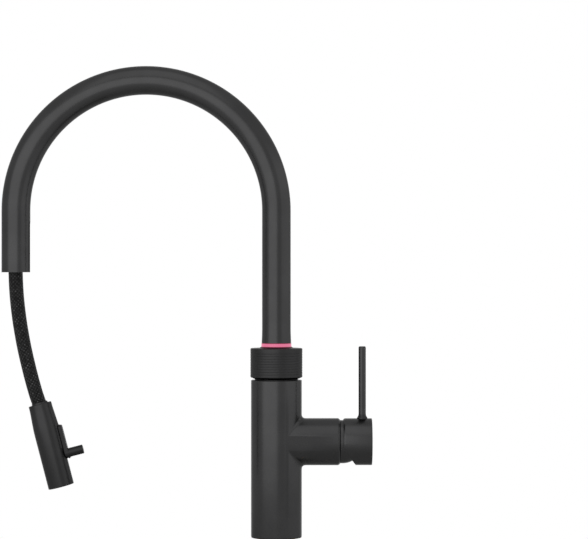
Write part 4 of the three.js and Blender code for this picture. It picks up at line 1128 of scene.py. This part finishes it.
# ---- Stage ----
class TAP_OT_stage(PieceOperator, bpy.types.Operator):
    """Floor, soft lights, white surroundings and camera"""

    bl_idname = "tap.stage"
    bl_label = "Stage"

    def softbox(self, name, turn, lift, away, wide, tall, power):
        """Panel at an angle round the tap from the camera's side and an angle above it, facing it."""
        aim = Vector((-0.06, 0, 0.24))
        across, up = math.radians(turn), math.radians(lift)
        level = math.cos(up)
        place = aim + away * Vector((level * math.sin(across), -level * math.cos(across), math.sin(up)))
        lamp = bpy.data.lights.new(name, "AREA")
        lamp.shape, lamp.size, lamp.size_y, lamp.energy = "RECTANGLE", wide, tall, power
        obj = linked(name, lamp)
        obj.location = place
        obj.rotation_euler = (aim - place).to_track_quat("-Z", "Y").to_euler()
        obj.visible_camera = False

    def execute(self, context):
        scene = context.scene
        floor = bmesh.new()
        bmesh.ops.create_circle(floor, cap_ends=True, segments=128, radius=1.6)
        floor = piece("studio_floor", moved(floor, (0, 0, CAD_BOX[0][2] - 0.0005)))
        # The floor takes the tap's shadow near it and runs out into the white of the backdrop.
        f = Finish("Studio Floor")
        x, y, _ = f.parts(f.place())
        away = ((x + 0.09) * (x + 0.09) + y * y) ** 0.5
        grain = f.noise(9.0, 3.0, 0.5)
        tint = colours().floor
        near = f.node("ShaderNodeBsdfPrincipled", None, {
            "Base Color": f.mix(grain.above(0.3, 0.4), shaded(tint, 0.97), tint),
            "Roughness": 0.7 + 0.1 * grain, "Specular IOR Level": 0.1})
        white = f.node("ShaderNodeEmission", None, {"Color": (1.0, 1.0, 1.0), "Strength": 1.0})
        far = seen_directly(f) * away.above(0.15, 0.45)
        mixed = f.node("ShaderNodeMixShader", None, {0: far, 1: near, 2: white})
        f.node("ShaderNodeOutputMaterial", None, {"Surface": mixed})
        floor.data.materials.append(f.data)

        w = Finish("Studio World", world=True)
        fill = 0.6
        back = w.node("ShaderNodeBackground", None, {
            "Color": (1.0, 1.0, 1.0), "Strength": fill + (1 - fill) * seen_directly(w)})
        w.node("ShaderNodeOutputWorld", None, {"Surface": back})
        scene.world = w.data

        self.softbox("key_left", -27, 6, 0.8, 1.16, 0.8, 3.1)
        self.softbox("fill_right", 82, 8, 1.0, 1.6, 0.9, 1.9)
        self.softbox("top", -4, 62, 1.4, 1.1, 1.3, 2.7)

        lens = bpy.data.cameras.new("photo_camera")
        lens.sensor_width, lens.lens = 36.0, 135.0
        camera = linked("photo_camera", lens)
        # Width of the photograph at the tap: its pixels, and a pixel's millimetres.
        wide = 588 * 0.8865 * MM
        camera.location = (15.6 * MM, -wide * lens.lens / lens.sensor_width, 237.1 * MM)
        camera.rotation_euler = (math.radians(90), 0, 0)
        scene.camera = camera
        scene.view_settings.view_transform = "Standard"
        return {"FINISHED"}


class TAP_PT_panel(bpy.types.Panel):
    """Lists the tap's pieces, sizes and colours"""

    bl_idname = "TAP_PT_panel"
    bl_label = "Boiling Water Tap"
    bl_space_type = "VIEW_3D"
    bl_region_type = "UI"
    bl_category = "Tap"

    def draw(self, context):
        for operator in OPERATORS:
            self.layout.operator(operator.bl_idname)
        for group in (context.scene.tap_sizes, context.scene.tap_colours):
            for name in group.__annotations__:
                self.layout.prop(group, name)


OPERATORS = (
    TAP_OT_stage, TAP_OT_spray_head, TAP_OT_hose, TAP_OT_inner_finishes, TAP_OT_body, TAP_OT_fixing,
    TAP_OT_tails, TAP_OT_mixer, TAP_OT_grip_ring, TAP_OT_light_ring, TAP_OT_spout,
)
CLASSES = (TapSizes, TapColours, *OPERATORS, TAP_PT_panel)


def register():
    for cls in CLASSES:
        bpy.utils.register_class(cls)
    bpy.types.Scene.tap_sizes = bpy.props.PointerProperty(type=TapSizes)
    bpy.types.Scene.tap_colours = bpy.props.PointerProperty(type=TapColours)


def unregister():
    del bpy.types.Scene.tap_colours
    del bpy.types.Scene.tap_sizes
    for cls in reversed(CLASSES):
        bpy.utils.unregister_class(cls)


def main():
    register()
    for operator in OPERATORS:
        group, name = operator.bl_idname.split(".")
        getattr(getattr(bpy.ops, group), name)()


if __name__ == "__main__":
    main()
